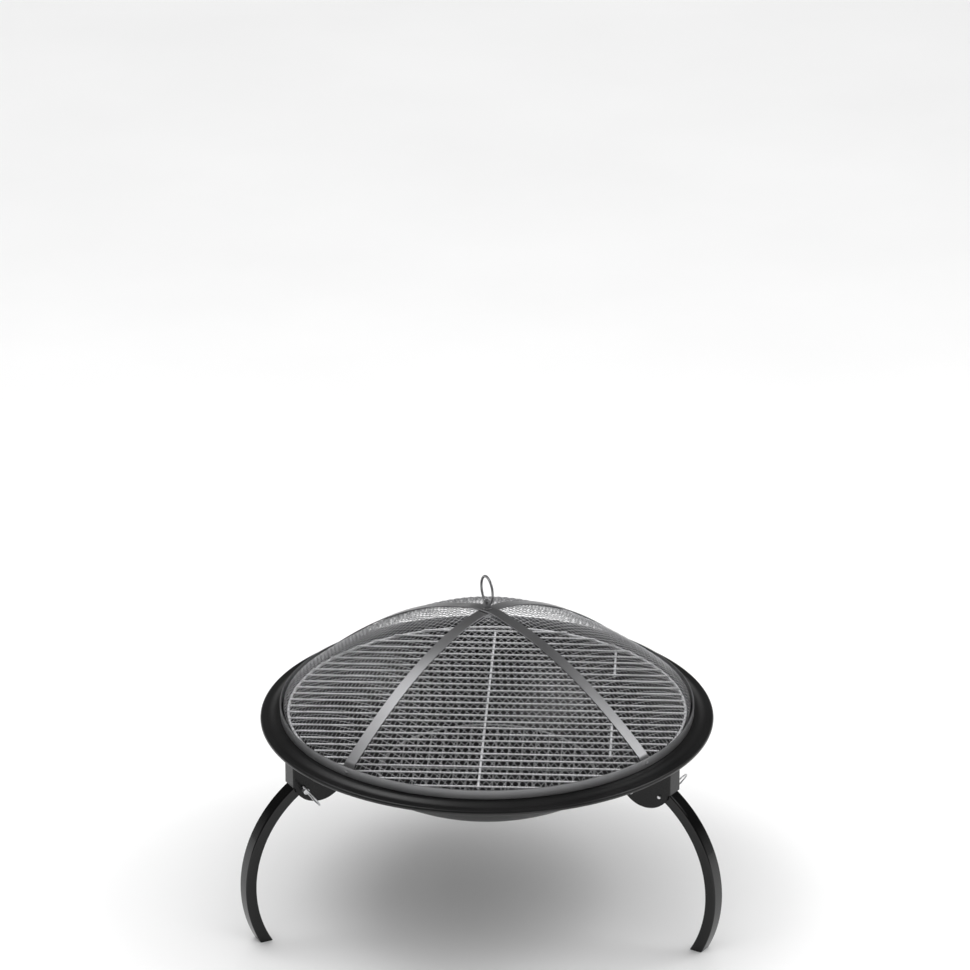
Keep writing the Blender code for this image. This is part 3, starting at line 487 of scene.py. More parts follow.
ENAMEL = surface(
    "black_enamel", grey(0.0035), grey(0.0070), (0.30, 0.42), 0.0, grain=1100, bump=0.22
)
PLATE_BLACK = surface(
    "black_plate", grey(0.003), grey(0.006), (0.20, 0.32), 0.0, grain=1300, bump=0.15, shine=0.3
)
LEG_BLACK = surface(
    "gloss_black", grey(0.002), grey(0.004), (0.06, 0.12), 0.0, grain=500, bump=0.03, shine=0.4
)
BOLT_BLACK = surface(
    "black_oxide", grey(0.0015), grey(0.003), (0.40, 0.52), 0.0, drift=60, grain=1500, shine=0.15
)
ZINC = surface(
    "zinc_plate", grey(0.62), grey(0.76), (0.22, 0.36), 0.85, drift=120, grain=1800, bump=0.15
)
GUNMETAL = surface(
    "gunmetal", grey(0.25), grey(0.31), (0.28, 0.40), 0.85, drift=14, grain=900, bump=0.12
)
WIRE_GREY = surface(
    "mesh_wire", grey(0.50), grey(0.62), (0.32, 0.46), 0.75, drift=25, grain=1200
)
CHROME = surface(
    "chrome_wire", grey(0.78), grey(0.85), (0.22, 0.34), 0.25, drift=30, grain=900, bump=0.05
)
GRATE_STEEL = surface(
    "grate_wire", grey(0.30), grey(0.40), (0.30, 0.44), 0.60, drift=40, grain=1000
)


# ---------------------------------------------------------------- bowl


def half_wave(start, end, steps):
    """A soft step from one (radius, height) to the next, level at both ends."""
    points = []
    for step in range(1, steps + 1):
        share = step / steps
        height = start[1] + (end[1] - start[1]) * (1 - cos(pi * share)) / 2
        points.append((start[0] + (end[0] - start[0]) * share, height))
    return points


def bowl_upper_line():
    """Upper face of the bowl: flat floor, soft corner, spherical wall, rim beads and rolled hem."""
    corner_steps, wall_steps, bead_steps, hem_steps = 6, 44, 8, 18
    line = [(0.0, 0.0), (FLOOR_RADIUS * 0.5, 0.0), (FLOOR_RADIUS * 0.8, 0.0)]
    first = FLOOR_RADIUS + FLOOR_CORNER
    last_flat, wall_foot = (FLOOR_RADIUS - FLOOR_CORNER, 0.0), (first, wall_height(first))
    line += curve_through(last_flat, (FLOOR_RADIUS, 0.0), wall_foot, corner_steps)
    start = asin(first / WALL_ARC_RADIUS)
    for step in range(1, wall_steps + 1):
        radius = WALL_ARC_RADIUS * sin(start + (WALL_END - start) * step / wall_steps)
        line.append((radius, wall_height(radius)))
    for step in range(1, bead_steps + 1):
        share = step / bead_steps
        line.append((WALL_TOP_RADIUS + RIDGE[0] * share, WALL_TOP + RIDGE[1] * sin(pi / 2 * share)))
    beads = [(WALL_TOP_RADIUS + out, WALL_TOP + up) for out, up in (RIDGE, GROOVE, CREST, LEDGE)]
    for one, two in zip(beads, beads[1:]):
        line += half_wave(one, two, bead_steps)
    ledge_end = (WALL_TOP_RADIUS + LEDGE_END_OUT, beads[-1][1])
    step_foot = (RIM_RADIUS - STEP_IN, beads[-1][1] - STEP_DOWN)
    line += [ledge_end, *half_wave(ledge_end, step_foot, bead_steps)]
    hem = (RIM_RADIUS - HEM_RADIUS, step_foot[1] - HEM_RADIUS)
    line += arc(hem, HEM_RADIUS, pi / 2, HEM_END, hem_steps)
    return line


def bolt_bore(turn, side, from_centre):
    """Cutter for one bracket bolt, through the sheet whose inner face is that far out."""
    spots = [from_centre + past for past in BOLT_BORE_ENDS]
    ends = [wall_point(BOLT_OUT, side * BOLT_SPACING / 2, spot)[0] for spot in spots]
    return rod(BOLT_SHANK / 2 + GAP, *[turn @ end for end in ends], sides=BOLT_BORE)


def make_bowl():
    """Pressed sheet, turned from its two faces, with bores for the bracket bolts."""
    upper = bowl_upper_line()
    lower = offset_line(upper, SHEET)
    bowl = solid("bowl_shell", turned(upper + lower[::-1], ROUND))
    holes = []
    for index in range(len(LEG_NAMES)):
        for side in (-1, 1):
            holes.append(bolt_bore(leg_frame(index), side, WALL_ARC_RADIUS))
    combine(bowl, together(*holes), "DIFFERENCE")
    dress(bowl, ENAMEL, "fire_bowl")


# ---------------------------------------------------------------- brackets and fasteners


def bracket_outline():
    """Side view of the bracket: up along the flange, over the web and round the lower edge."""
    flange_steps, corner_steps, arc_steps = 12, 4, 36
    mid_flange = FLANGE_INNER_ARC + PLATE / 2
    start, end = asin(BRACKET_INNER_OUT / mid_flange), asin(FLANGE_OUTER_OUT / mid_flange)
    leans = [start + (end - start) * step / flange_steps for step in range(flange_steps + 1)]
    outs = [mid_flange * sin(lean) for lean in leans]
    line = [(out, wall_height(out, mid_flange)) for out in outs]
    corner = (BRACKET_TOP_OUT, BRACKET_TOP)
    below = (BRACKET_TOP_OUT - BRACKET_CORNER_IN, BRACKET_TOP - BRACKET_CORNER_IN)
    beyond = (BRACKET_TOP_OUT + BRACKET_CORNER_OUT, BRACKET_TOP)
    line += curve_through(below, corner, beyond, corner_steps)
    line += [(WEB_OUTER, BRACKET_TOP), (WEB_OUTER, WEB_FOOT), (WEB_INNER - GAP, WEB_FOOT)]
    line += arc(BRACKET_ARC, BRACKET_ARC_RADIUS, *BRACKET_ARC_TURNS, arc_steps)
    return line


def flange(arc_radius):
    """A patch of sheet that follows the bowl's wall, for the bracket's bolts."""
    mesh = bmesh.new()
    spread = FLANGE_HALF_WIDTH / BOLT_OUT
    low, high = asin(BRACKET_INNER_OUT / arc_radius), asin(FLANGE_OUTER_OUT / arc_radius)
    across, up = 20, 6
    layers = []
    for radius in (arc_radius, arc_radius + PLATE):
        grid = []
        for i in range(across + 1):
            turn = -spread + 2 * spread * i / across
            column = []
            for j in range(up + 1):
                lean = low + (high - low) * j / up
                flat = radius * sin(lean)
                corner = (flat * cos(turn), flat * sin(turn), WALL_CENTRE - radius * cos(lean))
                column.append(mesh.verts.new(corner))
            grid.append(column)
        layers.append(grid)
    inner, outer = layers
    for i in range(across):
        for j in range(up):
            mesh.faces.new([inner[i][j], inner[i][j + 1], inner[i + 1][j + 1], inner[i + 1][j]])
            mesh.faces.new([outer[i][j], outer[i + 1][j], outer[i + 1][j + 1], outer[i][j + 1]])
    edge = [(i, 0) for i in range(across)] + [(across, j) for j in range(up)]
    edge += [(i, up) for i in range(across, 0, -1)] + [(0, j) for j in range(up, 0, -1)]
    for (i, j), (k, m) in zip(edge, edge[1:] + edge[:1]):
        mesh.faces.new([inner[i][j], inner[k][m], outer[k][m], outer[i][j]])
    return mesh


def make_bracket(index, name):
    """A channel with a curved flange each side, and bores for the pin, the spacer and the bolts."""
    turn = leg_frame(index)
    body = extruded(bracket_outline(), BRACKET_OUTSIDE)
    # The two bends between the web and the side plates are round outside.
    on_web = [e for e in body.edges if all(abs(v.co.x - WEB_OUTER) < TINY for v in e.verts)]
    bends = [e for e in on_web if abs(e.verts[0].co.z - e.verts[1].co.z) > PLATE_BEND]
    bmesh.ops.bevel(body, geom=bends, offset=PLATE_BEND, segments=6, profile=0.5, affect="EDGES")
    bracket = solid("bracket_plate_" + name, body, turn)
    far_in, high = BRACKET_INNER_OUT / 2, 2 * WALL_TOP
    channel = [(far_in, high), (far_in, GROUND), (WEB_INNER, GROUND), (WEB_INNER, high)]
    combine(bracket, extruded(channel, BRACKET_INSIDE), "DIFFERENCE", turn)
    combine(bracket, flange(FLANGE_INNER_ARC), "UNION", turn)
    reach = BRACKET_OUTSIDE + PAST / 2
    holes = []
    for shank, (out, up) in ((PIN_SHANK, (PIVOT_OUT, PIVOT_UP)), (SPACER_SHANK, SPACER)):
        holes.append(rod(shank / 2 + GAP, (out, -reach, up), (out, reach, up), sides=BORE))
    holes += [bolt_bore(Matrix(), side, FLANGE_INNER_ARC) for side in (-1, 1)]
    combine(bracket, together(*holes), "DIFFERENCE", turn)
    dress(bracket, PLATE_BLACK, "bracket_" + name)


def hex_nut(across_flats, height):
    """A chamfered six-sided nut, round the origin. Its bore is cut later."""
    mesh = bmesh.new()
    radius = across_flats / sqrt(3)
    bmesh.ops.create_cone(
        mesh, cap_ends=True, segments=6, radius1=radius, radius2=radius, depth=height
    )
    edges = mesh.edges[:]
    bmesh.ops.bevel(mesh, geom=edges, offset=NUT_CHAMFER, segments=3, profile=0.6, affect="EDGES")
    return mesh


def make_bracket_bolts(index, name):
    """Pan-head bolts with a cross recess, seen inside the bowl, and nuts behind the flange."""
    head_seat = WALL_ARC_RADIUS
    nut_seat = FLANGE_INNER_ARC + PLATE + GAP
    tip = nut_seat + NUT_HEIGHT + BOLT_TIP
    half, shank, tall = BOLT_HEAD / 2, BOLT_SHANK / 2, BOLT_HEAD_HEIGHT
    outline = []
    for step in range(HEAD_STEPS):
        turn = pi / 2 * step / HEAD_STEPS
        outline.append((half * sin(turn), head_seat - tall * cos(turn) ** HEAD_FULLNESS))
    outline += [(half, head_seat - tall * HEAD_RIM), (half, head_seat), (shank, head_seat)]
    outline += [(shank, tip - BOLT_TIP_CHAMFER), (shank - BOLT_TIP_CHAMFER, tip), (0.0, tip)]
    for number, side in enumerate((-1, 1), start=1):
        _, way = wall_point(BOLT_OUT, side * BOLT_SPACING / 2, 0.0)
        along = Vector((0, 0, 1)).rotation_difference(way).to_matrix().to_4x4()
        origin = leg_frame(index) @ Matrix.Translation((0, 0, WALL_CENTRE)) @ along
        bolt = solid(f"pan_bolt_{name}_{number}", turned(outline, FINE), origin)
        for turn in (0.0, pi / 2):
            slot = bmesh.new()
            at_top = Matrix.Translation((0, 0, head_seat - tall))
            pose = at_top @ Matrix.Rotation(turn, 4, "Z") @ Matrix.Diagonal((*RECESS, 1))
            bmesh.ops.create_cube(slot, size=1.0, matrix=pose)
            combine(bolt, slot, "DIFFERENCE", origin)
        dress(bolt, BOLT_BLACK, f"bracket_bolt_{name}_{number}")
        at_nut = origin @ Matrix.Translation((0, 0, nut_seat + NUT_HEIGHT / 2))
        nut = solid(f"hex_nut_{name}_{number}", hex_nut(NUT_ACROSS, NUT_HEIGHT), at_nut)
        bore = rod(shank + GAP, (0, 0, -NUT_HEIGHT), (0, 0, NUT_HEIGHT), sides=FINE)
        combine(nut, bore, "DIFFERENCE", at_nut)
        dress(nut, ZINC, f"bracket_nut_{name}_{number}")


def dome(half, seat, height, sign, steps=8):
    """Round head of a rivet, from its rim to its top. A sign of -1 turns it over."""
    points = []
    for step in range(steps + 1):
        turn = pi / 2 * step / steps
        points.append((half * cos(turn), sign * (seat + height * sin(turn))))
    points[-1] = (0.0, sign * (seat + height))
    return points


def make_spacer_rivet(index, name):
    """A rivet right across the bracket, with a round head each side."""
    seat = BRACKET_OUTSIDE + GAP
    upper = dome(SPACER_HEAD / 2, seat, SPACER_HEAD_HEIGHT, 1)
    lower = dome(SPACER_HEAD / 2, seat, SPACER_HEAD_HEIGHT, -1)
    outline = [*lower[::-1], (SPACER_SHANK / 2, -seat), (SPACER_SHANK / 2, seat), *upper]
    lay = Matrix.Translation((SPACER[0], 0, SPACER[1])) @ Matrix.Rotation(radians(-90), 4, "X")
    rivet = solid("rivet_" + name, turned(outline, FINE), leg_frame(index) @ lay)
    dress(rivet, ZINC, "spacer_rivet_" + name)


# ---------------------------------------------------------------- legs and pins


def leg_skin(mesh, inset):
    """One skin of the bent tube, outer or inner, from its level foot to its round top.

    Returns the corners of its foot.
    """
    top = atan2(PIVOT_UP - LEG_ARC_UP, PIVOT_OUT - LEG_ARC_OUT)
    middle, half = LEG_ARC_RADIUS - LEG_DEPTH / 2, LEG_DEPTH / 2 - inset
    wide, soft = LEG_WIDTH / 2 - inset, LEG_CORNER - inset
    section = []
    for quarter, (y, r) in enumerate(((1, 1), (-1, 1), (-1, -1), (1, -1))):
        corner = (y * (wide - soft), r * (half - soft))
        section += arc(corner, soft, quarter * pi / 2, (quarter + 1) * pi / 2, 6)
    stations = []
    for step in range(LEG_STEPS + 1):
        station = []
        for side, rise in section:
            radius = middle + rise
            foot = asin((GROUND - LEG_ARC_UP) / radius)
            turn = foot + (top - foot) * step / LEG_STEPS
            corner = (LEG_ARC_OUT + radius * cos(turn), side, LEG_ARC_UP + radius * sin(turn))
            station.append(mesh.verts.new(corner))
        stations.append(station)
    end = Vector((LEG_ARC_OUT + middle * cos(top), 0, LEG_ARC_UP + middle * sin(top)))
    ahead, out = Vector((-sin(top), 0, cos(top))), Vector((cos(top), 0, sin(top)))
    for step in range(1, LEG_TOP_STEPS + 1):
        lean = LEG_TOP_SWEEP * step / LEG_TOP_STEPS
        centre = end + ahead * half * sin(lean)
        station = []
        for side, rise in section:
            corner = centre + out * rise * cos(lean) + Vector((0, side, 0))
            station.append(mesh.verts.new(corner))
        stations.append(station)
    count = len(section)
    for one, two in zip(stations, stations[1:]):
        for index in range(count):
            after = (index + 1) % count
            mesh.faces.new([one[index], one[after], two[after], two[index]])
    mesh.faces.new(stations[-1])
    return stations[0]


def make_leg(index, name):
    """A bent rectangular tube with round corners, a closed round top and an open level foot."""
    turn = leg_frame(index)
    body = bmesh.new()
    outer, inner = leg_skin(body, 0.0), leg_skin(body, LEG_WALL)
    for one in range(len(outer)):
        two = (one + 1) % len(outer)
        body.faces.new([outer[one], outer[two], inner[two], inner[one]])
    leg = solid("leg_tube_" + name, body, turn)
    ends = [(PIVOT_OUT, side * LEG_WIDTH, PIVOT_UP) for side in (-1, 1)]
    combine(leg, rod(PIN_SHANK / 2 + GAP, *ends, sides=BORE), "DIFFERENCE", turn)
    dress(leg, LEG_BLACK, "leg_" + name)


def make_leg_pin(index, name):
    """The hinge pin, with a ring through the hole in its head."""
    at_pivot = leg_frame(index) @ Matrix.Translation((PIVOT_OUT, 0, PIVOT_UP))
    lay = at_pivot @ Matrix.Rotation(radians(-90), 4, "X")
    seat = BRACKET_OUTSIDE + GAP
    head_end, tip = seat + PIN_HEAD_LENGTH, -BRACKET_OUTSIDE - PIN_TIP
    half, shank, soft = PIN_HEAD / 2, PIN_SHANK / 2, PIN_HEAD_EDGE
    outline = [(0.0, head_end), *arc((half - soft, head_end - soft), soft, pi / 2, 0, 5)]
    outline += [*arc((half - soft / 2, seat + soft / 2), soft / 2, 0, -pi / 2, 4), (shank, seat)]
    outline += arc((shank / 2, tip + shank / 2), shank / 2, 0, -pi / 2, 6)
    outline.append((0.0, tip))
    pin = solid("pull_pin_" + name, turned(outline, FINE), lay)
    hole_at = seat + PIN_HOLE_AT
    lean = Vector((cos(PULL_RING_LEAN), 0, sin(PULL_RING_LEAN)))
    middle = Vector((0, hole_at, 0))
    bend = half**2 / (2 * PULL_RING_RADIUS)
    ends = (middle - lean * PIN_HEAD, middle + lean * PIN_HEAD)
    hole = rod(PULL_RING_WIRE / 2 + bend + GAP, *ends, sides=BORE)
    combine(pin, hole, "DIFFERENCE", at_pivot)
    dress(pin, ZINC, "leg_pin_" + name)
    across = Vector((0, 1, 0))
    turn = Matrix((lean, across, lean.cross(across))).transposed().to_4x4()
    at_ring = at_pivot @ Matrix.Translation((0, hole_at + PULL_RING_RADIUS, 0)) @ turn
    loop = solid("pin_ring_" + name, ring(PULL_RING_RADIUS, PULL_RING_WIRE, LOOP), at_ring)
    dress(loop, ZINC, "pull_ring_" + name)


# ---------------------------------------------------------------- charcoal grate


def make_grate():
    """Wire ring, parallel rods butted into it and one cross rod on top, all spot welded."""
    wire, bar = GRATE_RING_WIRE / 2, GRATE_ROD_WIRE / 2
    middle = GRATE_RADIUS - wire
    level = Matrix.Translation((0, 0, GRATE_LEVEL))
    rise = 2 * bar + GAP
    spots = [(n - (GRATE_ROD_COUNT - 1) / 2) * GRATE_ROD_PITCH for n in range(GRATE_ROD_COUNT)]
    welds = []
    for number, side in enumerate(spots, start=1):
        half = sqrt(middle**2 - side**2) - wire * ROD_SHORT
        mesh = rod(bar, (side, -half, 0), (side, half, 0), sides=ROD_SIDES)
        piece = solid(f"charcoal_rod_{number:02d}", mesh, level)
        dress(piece, GRATE_STEEL, f"grate_rod_{number:02d}")
        for end in (-1, 1):
            welds.append(bead((side, end * (half - wire * WELD_SHORT), 0.0), bar, RIM_BEAD))
    rim = together(ring(middle, GRATE_RING_WIRE, GRATE_ROUND), *welds)
    dress(solid("charcoal_ring", rim, level), GRATE_STEEL, "grate_ring")
    half = (GRATE_ROD_COUNT - 1) / 2 * GRATE_ROD_PITCH + GRATE_CROSS_OVERHANG
    cross = [rod(bar, (-half, 0, rise), (half, 0, rise), sides=ROD_SIDES, round_end=bar * TIE_DOME)]
    cross += [bead((side, 0, rise / 2), bar, CROSS_BEAD) for side in spots]
    dress(solid("charcoal_cross_rod", together(*cross), level), GRATE_STEEL, "grate_cross_rod")


# ---------------------------------------------------------------- cooking grill


def make_grill():
    """Wire ring, parallel rods welded on top of it, one long tie and two short ones under them."""
    wire, bar, tie = GRILL_RING_WIRE / 2, GRILL_ROD_WIRE / 2, GRILL_TIE_WIRE / 2
    level = Matrix.Translation((0, 0, GRILL_LEVEL))
    loop = solid("cooking_ring", ring(GROOVE_RADIUS, GRILL_RING_WIRE, ROUND), level)
    dress(loop, CHROME, "grill_ring")
    rise = wire + GAP + bar
    shells = []
    for number in range(GRILL_ROD_COUNT):
        side = (number - (GRILL_ROD_COUNT - 1) / 2) * GRILL_ROD_PITCH
        half = sqrt(GROOVE_RADIUS**2 - (abs(side) + bar) ** 2)
        ends = [(-half, side, rise), (half, side, rise)]
        shells.append(rod(bar, *ends, sides=ROD_SIDES, round_end=bar * ROD_DOME))
        for end in (-1, 1):
            touch = sqrt(GROOVE_RADIUS**2 - side**2) * end
            shells.append(bead((touch - end * GRILL_BEAD_IN, side, rise - bar), bar, GRILL_BEAD))
    below = rise - bar - tie + GRILL_WELD
    half = (GRILL_ROD_COUNT - 1) / 2 * GRILL_ROD_PITCH + bar
    ends = [(0, -half, below), (0, half, below)]
    shells.append(rod(tie, *ends, sides=ROD_SIDES, round_end=tie * TIE_DOME))
    for start, end in SHORT_TIE_SPANS:
        spans = [(step + (0.5 if step < 0 else -0.5)) * GRILL_ROD_PITCH for step in (start, end)]
        ends = [(SHORT_TIE_X, spans[0] - bar, below), (SHORT_TIE_X, spans[1] + bar, below)]
        shells.append(rod(tie, *ends, sides=ROD_SIDES, round_end=tie * TIE_DOME))
    dress(solid("cooking_rods", together(*shells), level), CHROME, "grill_rods")


# ---------------------------------------------------------------- lid


def wire_points(offset, along, across, number):
    """One wire of the weave: over and under those that it crosses, then down inside the band."""
    reach = sqrt((MESH_RADIUS - WIRE_RADIUS) ** 2 - offset**2)
    count = int(reach / WIRE_PITCH - 0.5)
    sheet = -MESH_THICKNESS / 2
    points = []
    for step in range(-count - 1, count + 1):
        run = (step + 0.5) * WIRE_PITCH
        sway = WEAVE_SWAY * (1 if (step + number) % 2 else -1)
        height = dome_height(hypot(run, offset)) + sheet + sway
        points.append(across * offset + along * run + Vector((0, 0, height)))
    for end in (-1, 1):
        edge = across * offset + along * (reach * end) + Vector((0, 0, DOME_BASE + sheet))
        foot = edge - Vector((0, 0, MESH_SKIRT))
        points = [foot, edge, *points] if end < 0 else [*points, edge, foot]
    return points


def make_mesh():
    """Two families of wires, each parallel to one strap, woven plain."""
    wires = []
    rows = int((MESH_RADIUS - MESH_EDGE) / WIRE_PITCH - 0.5)
    for family in range(2):
        turn = STRAP_TURN + family * pi / 2
        along = Vector((cos(turn), sin(turn), 0))
        across = Vector((-sin(turn), cos(turn), 0))
        for row in range(-rows - 1, rows + 1):
            line = wire_points((row + 0.5) * WIRE_PITCH, along, across, row + family)
            wires.append(tube(line, circle(WIRE_RADIUS, WIRE_SIDES), across))
    mesh = solid("woven_wire", together(*wires))
    dress(mesh, WIRE_GREY, "lid_mesh", smooth_angle=radians(80))


def strap_section():
    """Flat bar with round edges, as (sideways, up) points; up is away from the mesh."""
    soft, half = STRAP_EDGE, STRAP_WIDTH / 2
    foot, top = GAP, GAP + STRAP_THICKNESS
    section = arc((half - soft, foot + soft), soft, -pi / 2, 0, 3)
    section += arc((half - soft, top - soft), soft, 0, pi / 2, 3)
    section += arc((soft - half, top - soft), soft, pi / 2, pi, 3)
    section += arc((soft - half, foot + soft), soft, pi, 3 * pi / 2, 3)
    return section


def make_strap(name, node, turn, lift):
    """A flat bar over the dome and down inside the band, lifted at the middle by lift."""
    steps = 56
    half = []
    for step in range(steps):
        out = MESH_RADIUS * step / steps
        blend = min(max((out - STRAP_WIDTH) / (2 * STRAP_WIDTH), 0.0), 1.0)
        half.append((out, dome_height(out) + lift * (1 + cos(pi * blend)) / 2))
    corner = (MESH_RADIUS, DOME_BASE)
    below = (MESH_RADIUS, DOME_BASE - STRAP_BEND)
    half = half[:-1] + curve_through(half[-1], corner, below, 8)
    half.append((MESH_RADIUS, BAND_FOOT + STRAP_TAB_FOOT))
    path = [Vector((-out, 0, up)) for out, up in half[:0:-1]]
    path += [Vector((out, 0, up)) for out, up in half]
    section = [(-side, up) for side, up in strap_section()]
    pose = Matrix.Rotation(turn, 4, "Z")
    strap = solid(name, tube(path, section, (0, -1, 0)), pose)
    top = dome_height(0.0)
    ends = [(0, 0, top - PAST), (0, 0, top + 2 * PAST)]
    combine(strap, rod(EYE_SHANK / 2 + GAP, *ends, sides=BORE), "DIFFERENCE", pose)
    dress(strap, GUNMETAL, node)


def make_band():
    """A flat hoop with round edges."""
    outer, soft = BAND_INNER + BAND_THICKNESS, BAND_EDGE
    outline = arc((BAND_INNER + soft, BAND_FOOT + soft), soft, pi, 3 * pi / 2, 3)
    outline += arc((outer - soft, BAND_FOOT + soft), soft, -pi / 2, 0, 3)
    outline += arc((outer - soft, BAND_TOP - soft), soft, 0, pi / 2, 3)
    outline += arc((BAND_INNER + soft, BAND_TOP - soft), soft, pi / 2, pi, 3)
    dress(solid("lid_hoop", turned(outline, ROUND)), GUNMETAL, "lid_band")


def make_lid_rivets():
    """Rivets through band and strap, with a head outside and a flatter tail inside."""
    outer_seat = BAND_INNER + BAND_THICKNESS
    shank = LID_RIVET_SHANK / 2
    head = dome(LID_RIVET_HEAD / 2, outer_seat, LID_RIVET_HEIGHT, 1)
    tail = dome(LID_RIVET_TAIL / 2, -MESH_RADIUS, LID_RIVET_TAIL_HEIGHT, -1)
    outline = [*tail[::-1], (shank, tail[0][1]), (shank, outer_seat), *head]
    level = (BAND_FOOT + BAND_TOP) / 2
    for quarter in range(4):
        turn = Matrix.Rotation(STRAP_TURN + quarter * pi / 2, 4, "Z")
        pose = Matrix.Translation((0, 0, level)) @ turn @ Matrix.Rotation(radians(90), 4, "Y")
        rivet = solid(f"hoop_rivet_{quarter + 1}", turned(outline, RIVET), pose)
        dress(rivet, GUNMETAL, f"lid_rivet_{quarter + 1}")


def make_handle():
    """The eye bolt, its nut under the mesh, and the ring that stands in the eye."""
    collar_foot = dome_height(0.0) + STRAP_THICKNESS * 2 + 3 * GAP + CROSS_DROP
    collar_top = collar_foot + EYE_COLLAR_HEIGHT
    nut_low, nut_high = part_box("lid_eye_nut")[0].z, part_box("lid_eye_nut")[1].z
    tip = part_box("lid_eye_bolt")[0].z
    soft, half = EYE_EDGE, EYE_SHANK / 2
    outline = [(0.0, tip), (half - soft, tip), (half, tip + soft), (half, collar_foot)]
    outline += arc((EYE_COLLAR_RADIUS - soft, collar_foot + soft), soft, -pi / 2, 0, 4)
    outline += arc((EYE_COLLAR_RADIUS - soft, collar_top - soft), soft, 0, pi / 2, 4)
    outline.append((0.0, collar_top))
    pose = Matrix.Rotation(HANDLE_TURN, 4, "Z")
    eye = solid("eye_bolt", turned(outline, FINE), pose)
    hole_up = collar_top + EYE_LUG_RISE
    wide = EYE_LUG_WIDTH / 2
    lug = [(wide, hole_up), *arc((0.0, hole_up), wide, 0, pi, 24)[1:]]
    lug_foot = collar_top - EYE_COLLAR_HEIGHT / 2
    lug += [(-wide, lug_foot), (wide, lug_foot)]
    body = extruded(lug, EYE_LUG_THICKNESS / 2)
    rims = [e for e in body.edges if abs(e.verts[0].co.y - e.verts[1].co.y) < TINY]
    bmesh.ops.bevel(body, geom=rims, offset=soft, segments=3, profile=0.5, affect="EDGES")
    combine(eye, body, "UNION", pose @ Matrix.Rotation(radians(90), 4, "Z"))
    ends = [(-PAST, 0, hole_up), (PAST, 0, hole_up)]
    bore = rod(HANDLE_RING_WIRE / 2 + HANDLE_CLEARANCE, *ends, sides=BORE)
    combine(eye, bore, "DIFFERENCE", pose)
    dress(eye, GUNMETAL, "lid_eye_bolt")
    nut_pose = Matrix.Translation((0, 0, (nut_low + nut_high) / 2))
    nut = solid("eye_nut", hex_nut(EYE_NUT_ACROSS, nut_high - nut_low), nut_pose)
    bore = rod(half + GAP, (0, 0, -PAST), (0, 0, PAST), sides=FINE)
    combine(nut, bore, "DIFFERENCE", nut_pose)
    dress(nut, ZINC, "lid_eye_nut")
    loop = ring(HANDLE_RING_RADIUS, HANDLE_RING_WIRE, HANDLE_ROUND, HANDLE_SIDES)
    stand = Matrix.Translation((0, 0, HANDLE_RING_RADIUS)) @ Matrix.Rotation(radians(90), 4, "X")
    bmesh.ops.transform(loop, matrix=stand, verts=loop.verts[:])
    ring_pose = Matrix.Translation((0, 0, hole_up)) @ pose
    dress(solid("lid_ring_pull", loop, ring_pose), GUNMETAL, "lid_handle_ring")


def make_lid():
    """Band, mesh, crossed straps, rivets and handle. The upper strap is lifted over the lower."""
    make_band()
    make_mesh()
    lift = STRAP_THICKNESS + GAP + CROSS_DROP
    make_strap("strap_lower", "lid_strap_under", STRAP_TURN, 0.0)
    make_strap("strap_upper", "lid_strap_over", STRAP_TURN + pi / 2, lift)
    make_lid_rivets()
    make_handle()


# ---------------------------------------------------------------- stage, light and camera


FLOOR_HALF = 40.0
FLOOR_DROP = 0.0002             # under the feet
SKY = ((0.02, 0.50), (0.30, 0.05))  # rise and grey: pale round the horizon, darker overhead
OVERHEAD, OVERHEAD_SPREAD = 3.0, radians(120)  # evens out the floor, not seen in reflections
LIGHTS = (  # name, way to the light, distance, side of the square, power
    ("right_box", (0.70, 0.09, 0.71), 2.2, 1.0, 12.0),
    ("left_box", (-0.45, 0.11, 0.88), 2.2, 1.0, 12.0),
)
LIT_POINT = (0, 0, 0.10)
VIEW_TURN, VIEW_LIFT = radians(2.7), radians(25.12)
VIEW_DISTANCE = 6.0
AIM_UP, AIM_LEFT = 0.2764, 0.0025  # from the rim's centre; leaves room for the lid lifted off


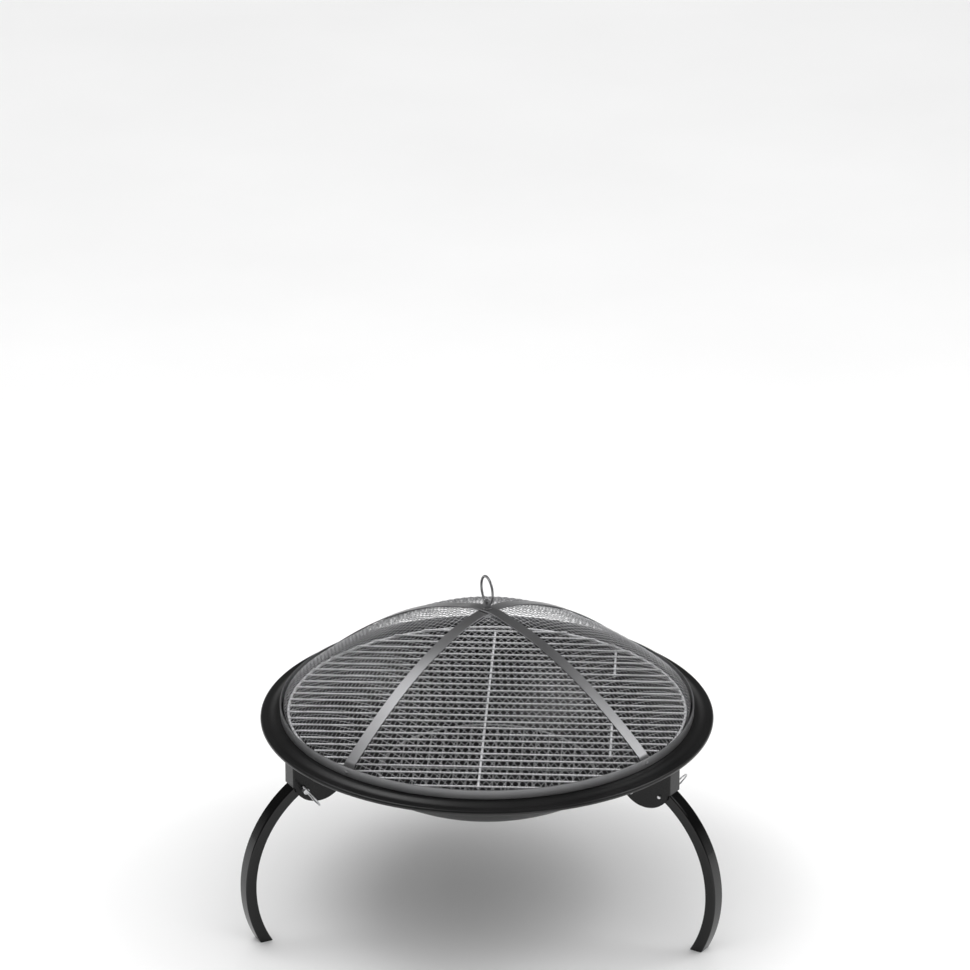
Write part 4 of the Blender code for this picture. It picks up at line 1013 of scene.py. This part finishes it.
def make_stage():
    """A pale floor and the studio round it."""
    mesh = bmesh.new()
    bmesh.ops.create_grid(mesh, x_segments=8, y_segments=8, size=FLOOR_HALF)
    floor = solid("floor", mesh, Matrix.Translation((0, 0, GROUND - FLOOR_DROP)))
    dark, light = (0.88, 0.88, 0.88), (0.90, 0.90, 0.90)
    pale = surface("pale_floor", dark, light, (0.6, 0.7), 0.0, drift=2, grain=60, bump=0.0)
    floor.data.materials.append(pale)
    world = bpy.data.worlds.new("studio")
    bpy.context.scene.world = world
    world.use_nodes = True
    nodes, links = world.node_tree.nodes, world.node_tree.links
    sky = nodes.new("ShaderNodeTexCoord")
    split = nodes.new("ShaderNodeSeparateXYZ")
    links.new(sky.outputs["Generated"], split.inputs["Vector"])
    ramp = nodes.new("ShaderNodeValToRGB")
    for stop, (rise, value) in zip(ramp.color_ramp.elements, SKY):
        stop.position = rise
        stop.color = (value, value, value, 1)
    links.new(split.outputs["Z"], ramp.inputs["Fac"])
    links.new(ramp.outputs["Color"], nodes["Background"].inputs["Color"])
    nodes["Background"].inputs["Strength"].default_value = 1.0


def make_lights():
    """Two square lights on the object, and a soft sun from straight above."""
    middle = Vector(LIT_POINT)
    for name, way, distance, side, power in LIGHTS:
        light = bpy.data.lights.new(name, "AREA")
        light.shape = "SQUARE"
        light.size = side
        light.energy = power
        lamp = place(name, light)
        lamp.location = middle + Vector(way).normalized() * distance
        lamp.rotation_euler = (middle - lamp.location).to_track_quat("-Z", "Y").to_euler()
    wash = bpy.data.lights.new("overhead", "SUN")
    wash.energy = OVERHEAD
    wash.angle = OVERHEAD_SPREAD
    place("overhead", wash).visible_glossy = False


def make_camera():
    """A long lens, 25 degrees above the rim."""
    rim_centre = Vector((0, 0, WALL_TOP + LEDGE[1]))
    turn, lift = VIEW_TURN, VIEW_LIFT
    back = Vector((sin(turn) * cos(lift), -cos(turn) * cos(lift), sin(lift)))
    right = Vector((cos(turn), sin(turn), 0))
    up = back.cross(right)
    camera = bpy.data.cameras.new("camera")
    camera.lens = 180.0
    camera.sensor_width = 36.0
    viewer = place("camera", camera)
    viewer.location = rim_centre + back * VIEW_DISTANCE
    aim = rim_centre + up * AIM_UP - right * AIM_LEFT
    viewer.rotation_euler = (aim - viewer.location).to_track_quat("-Z", "Y").to_euler()
    bpy.context.scene.camera = viewer


# ---------------------------------------------------------------- whole object

make_bowl()
for leg_index, leg_name in enumerate(LEG_NAMES):
    make_bracket(leg_index, leg_name)
    make_bracket_bolts(leg_index, leg_name)
    make_spacer_rivet(leg_index, leg_name)
    make_leg(leg_index, leg_name)
    make_leg_pin(leg_index, leg_name)
make_grate()
make_grill()
make_lid()
make_stage()
make_lights()
make_camera()
bpy.context.scene.view_settings.view_transform = "Standard"
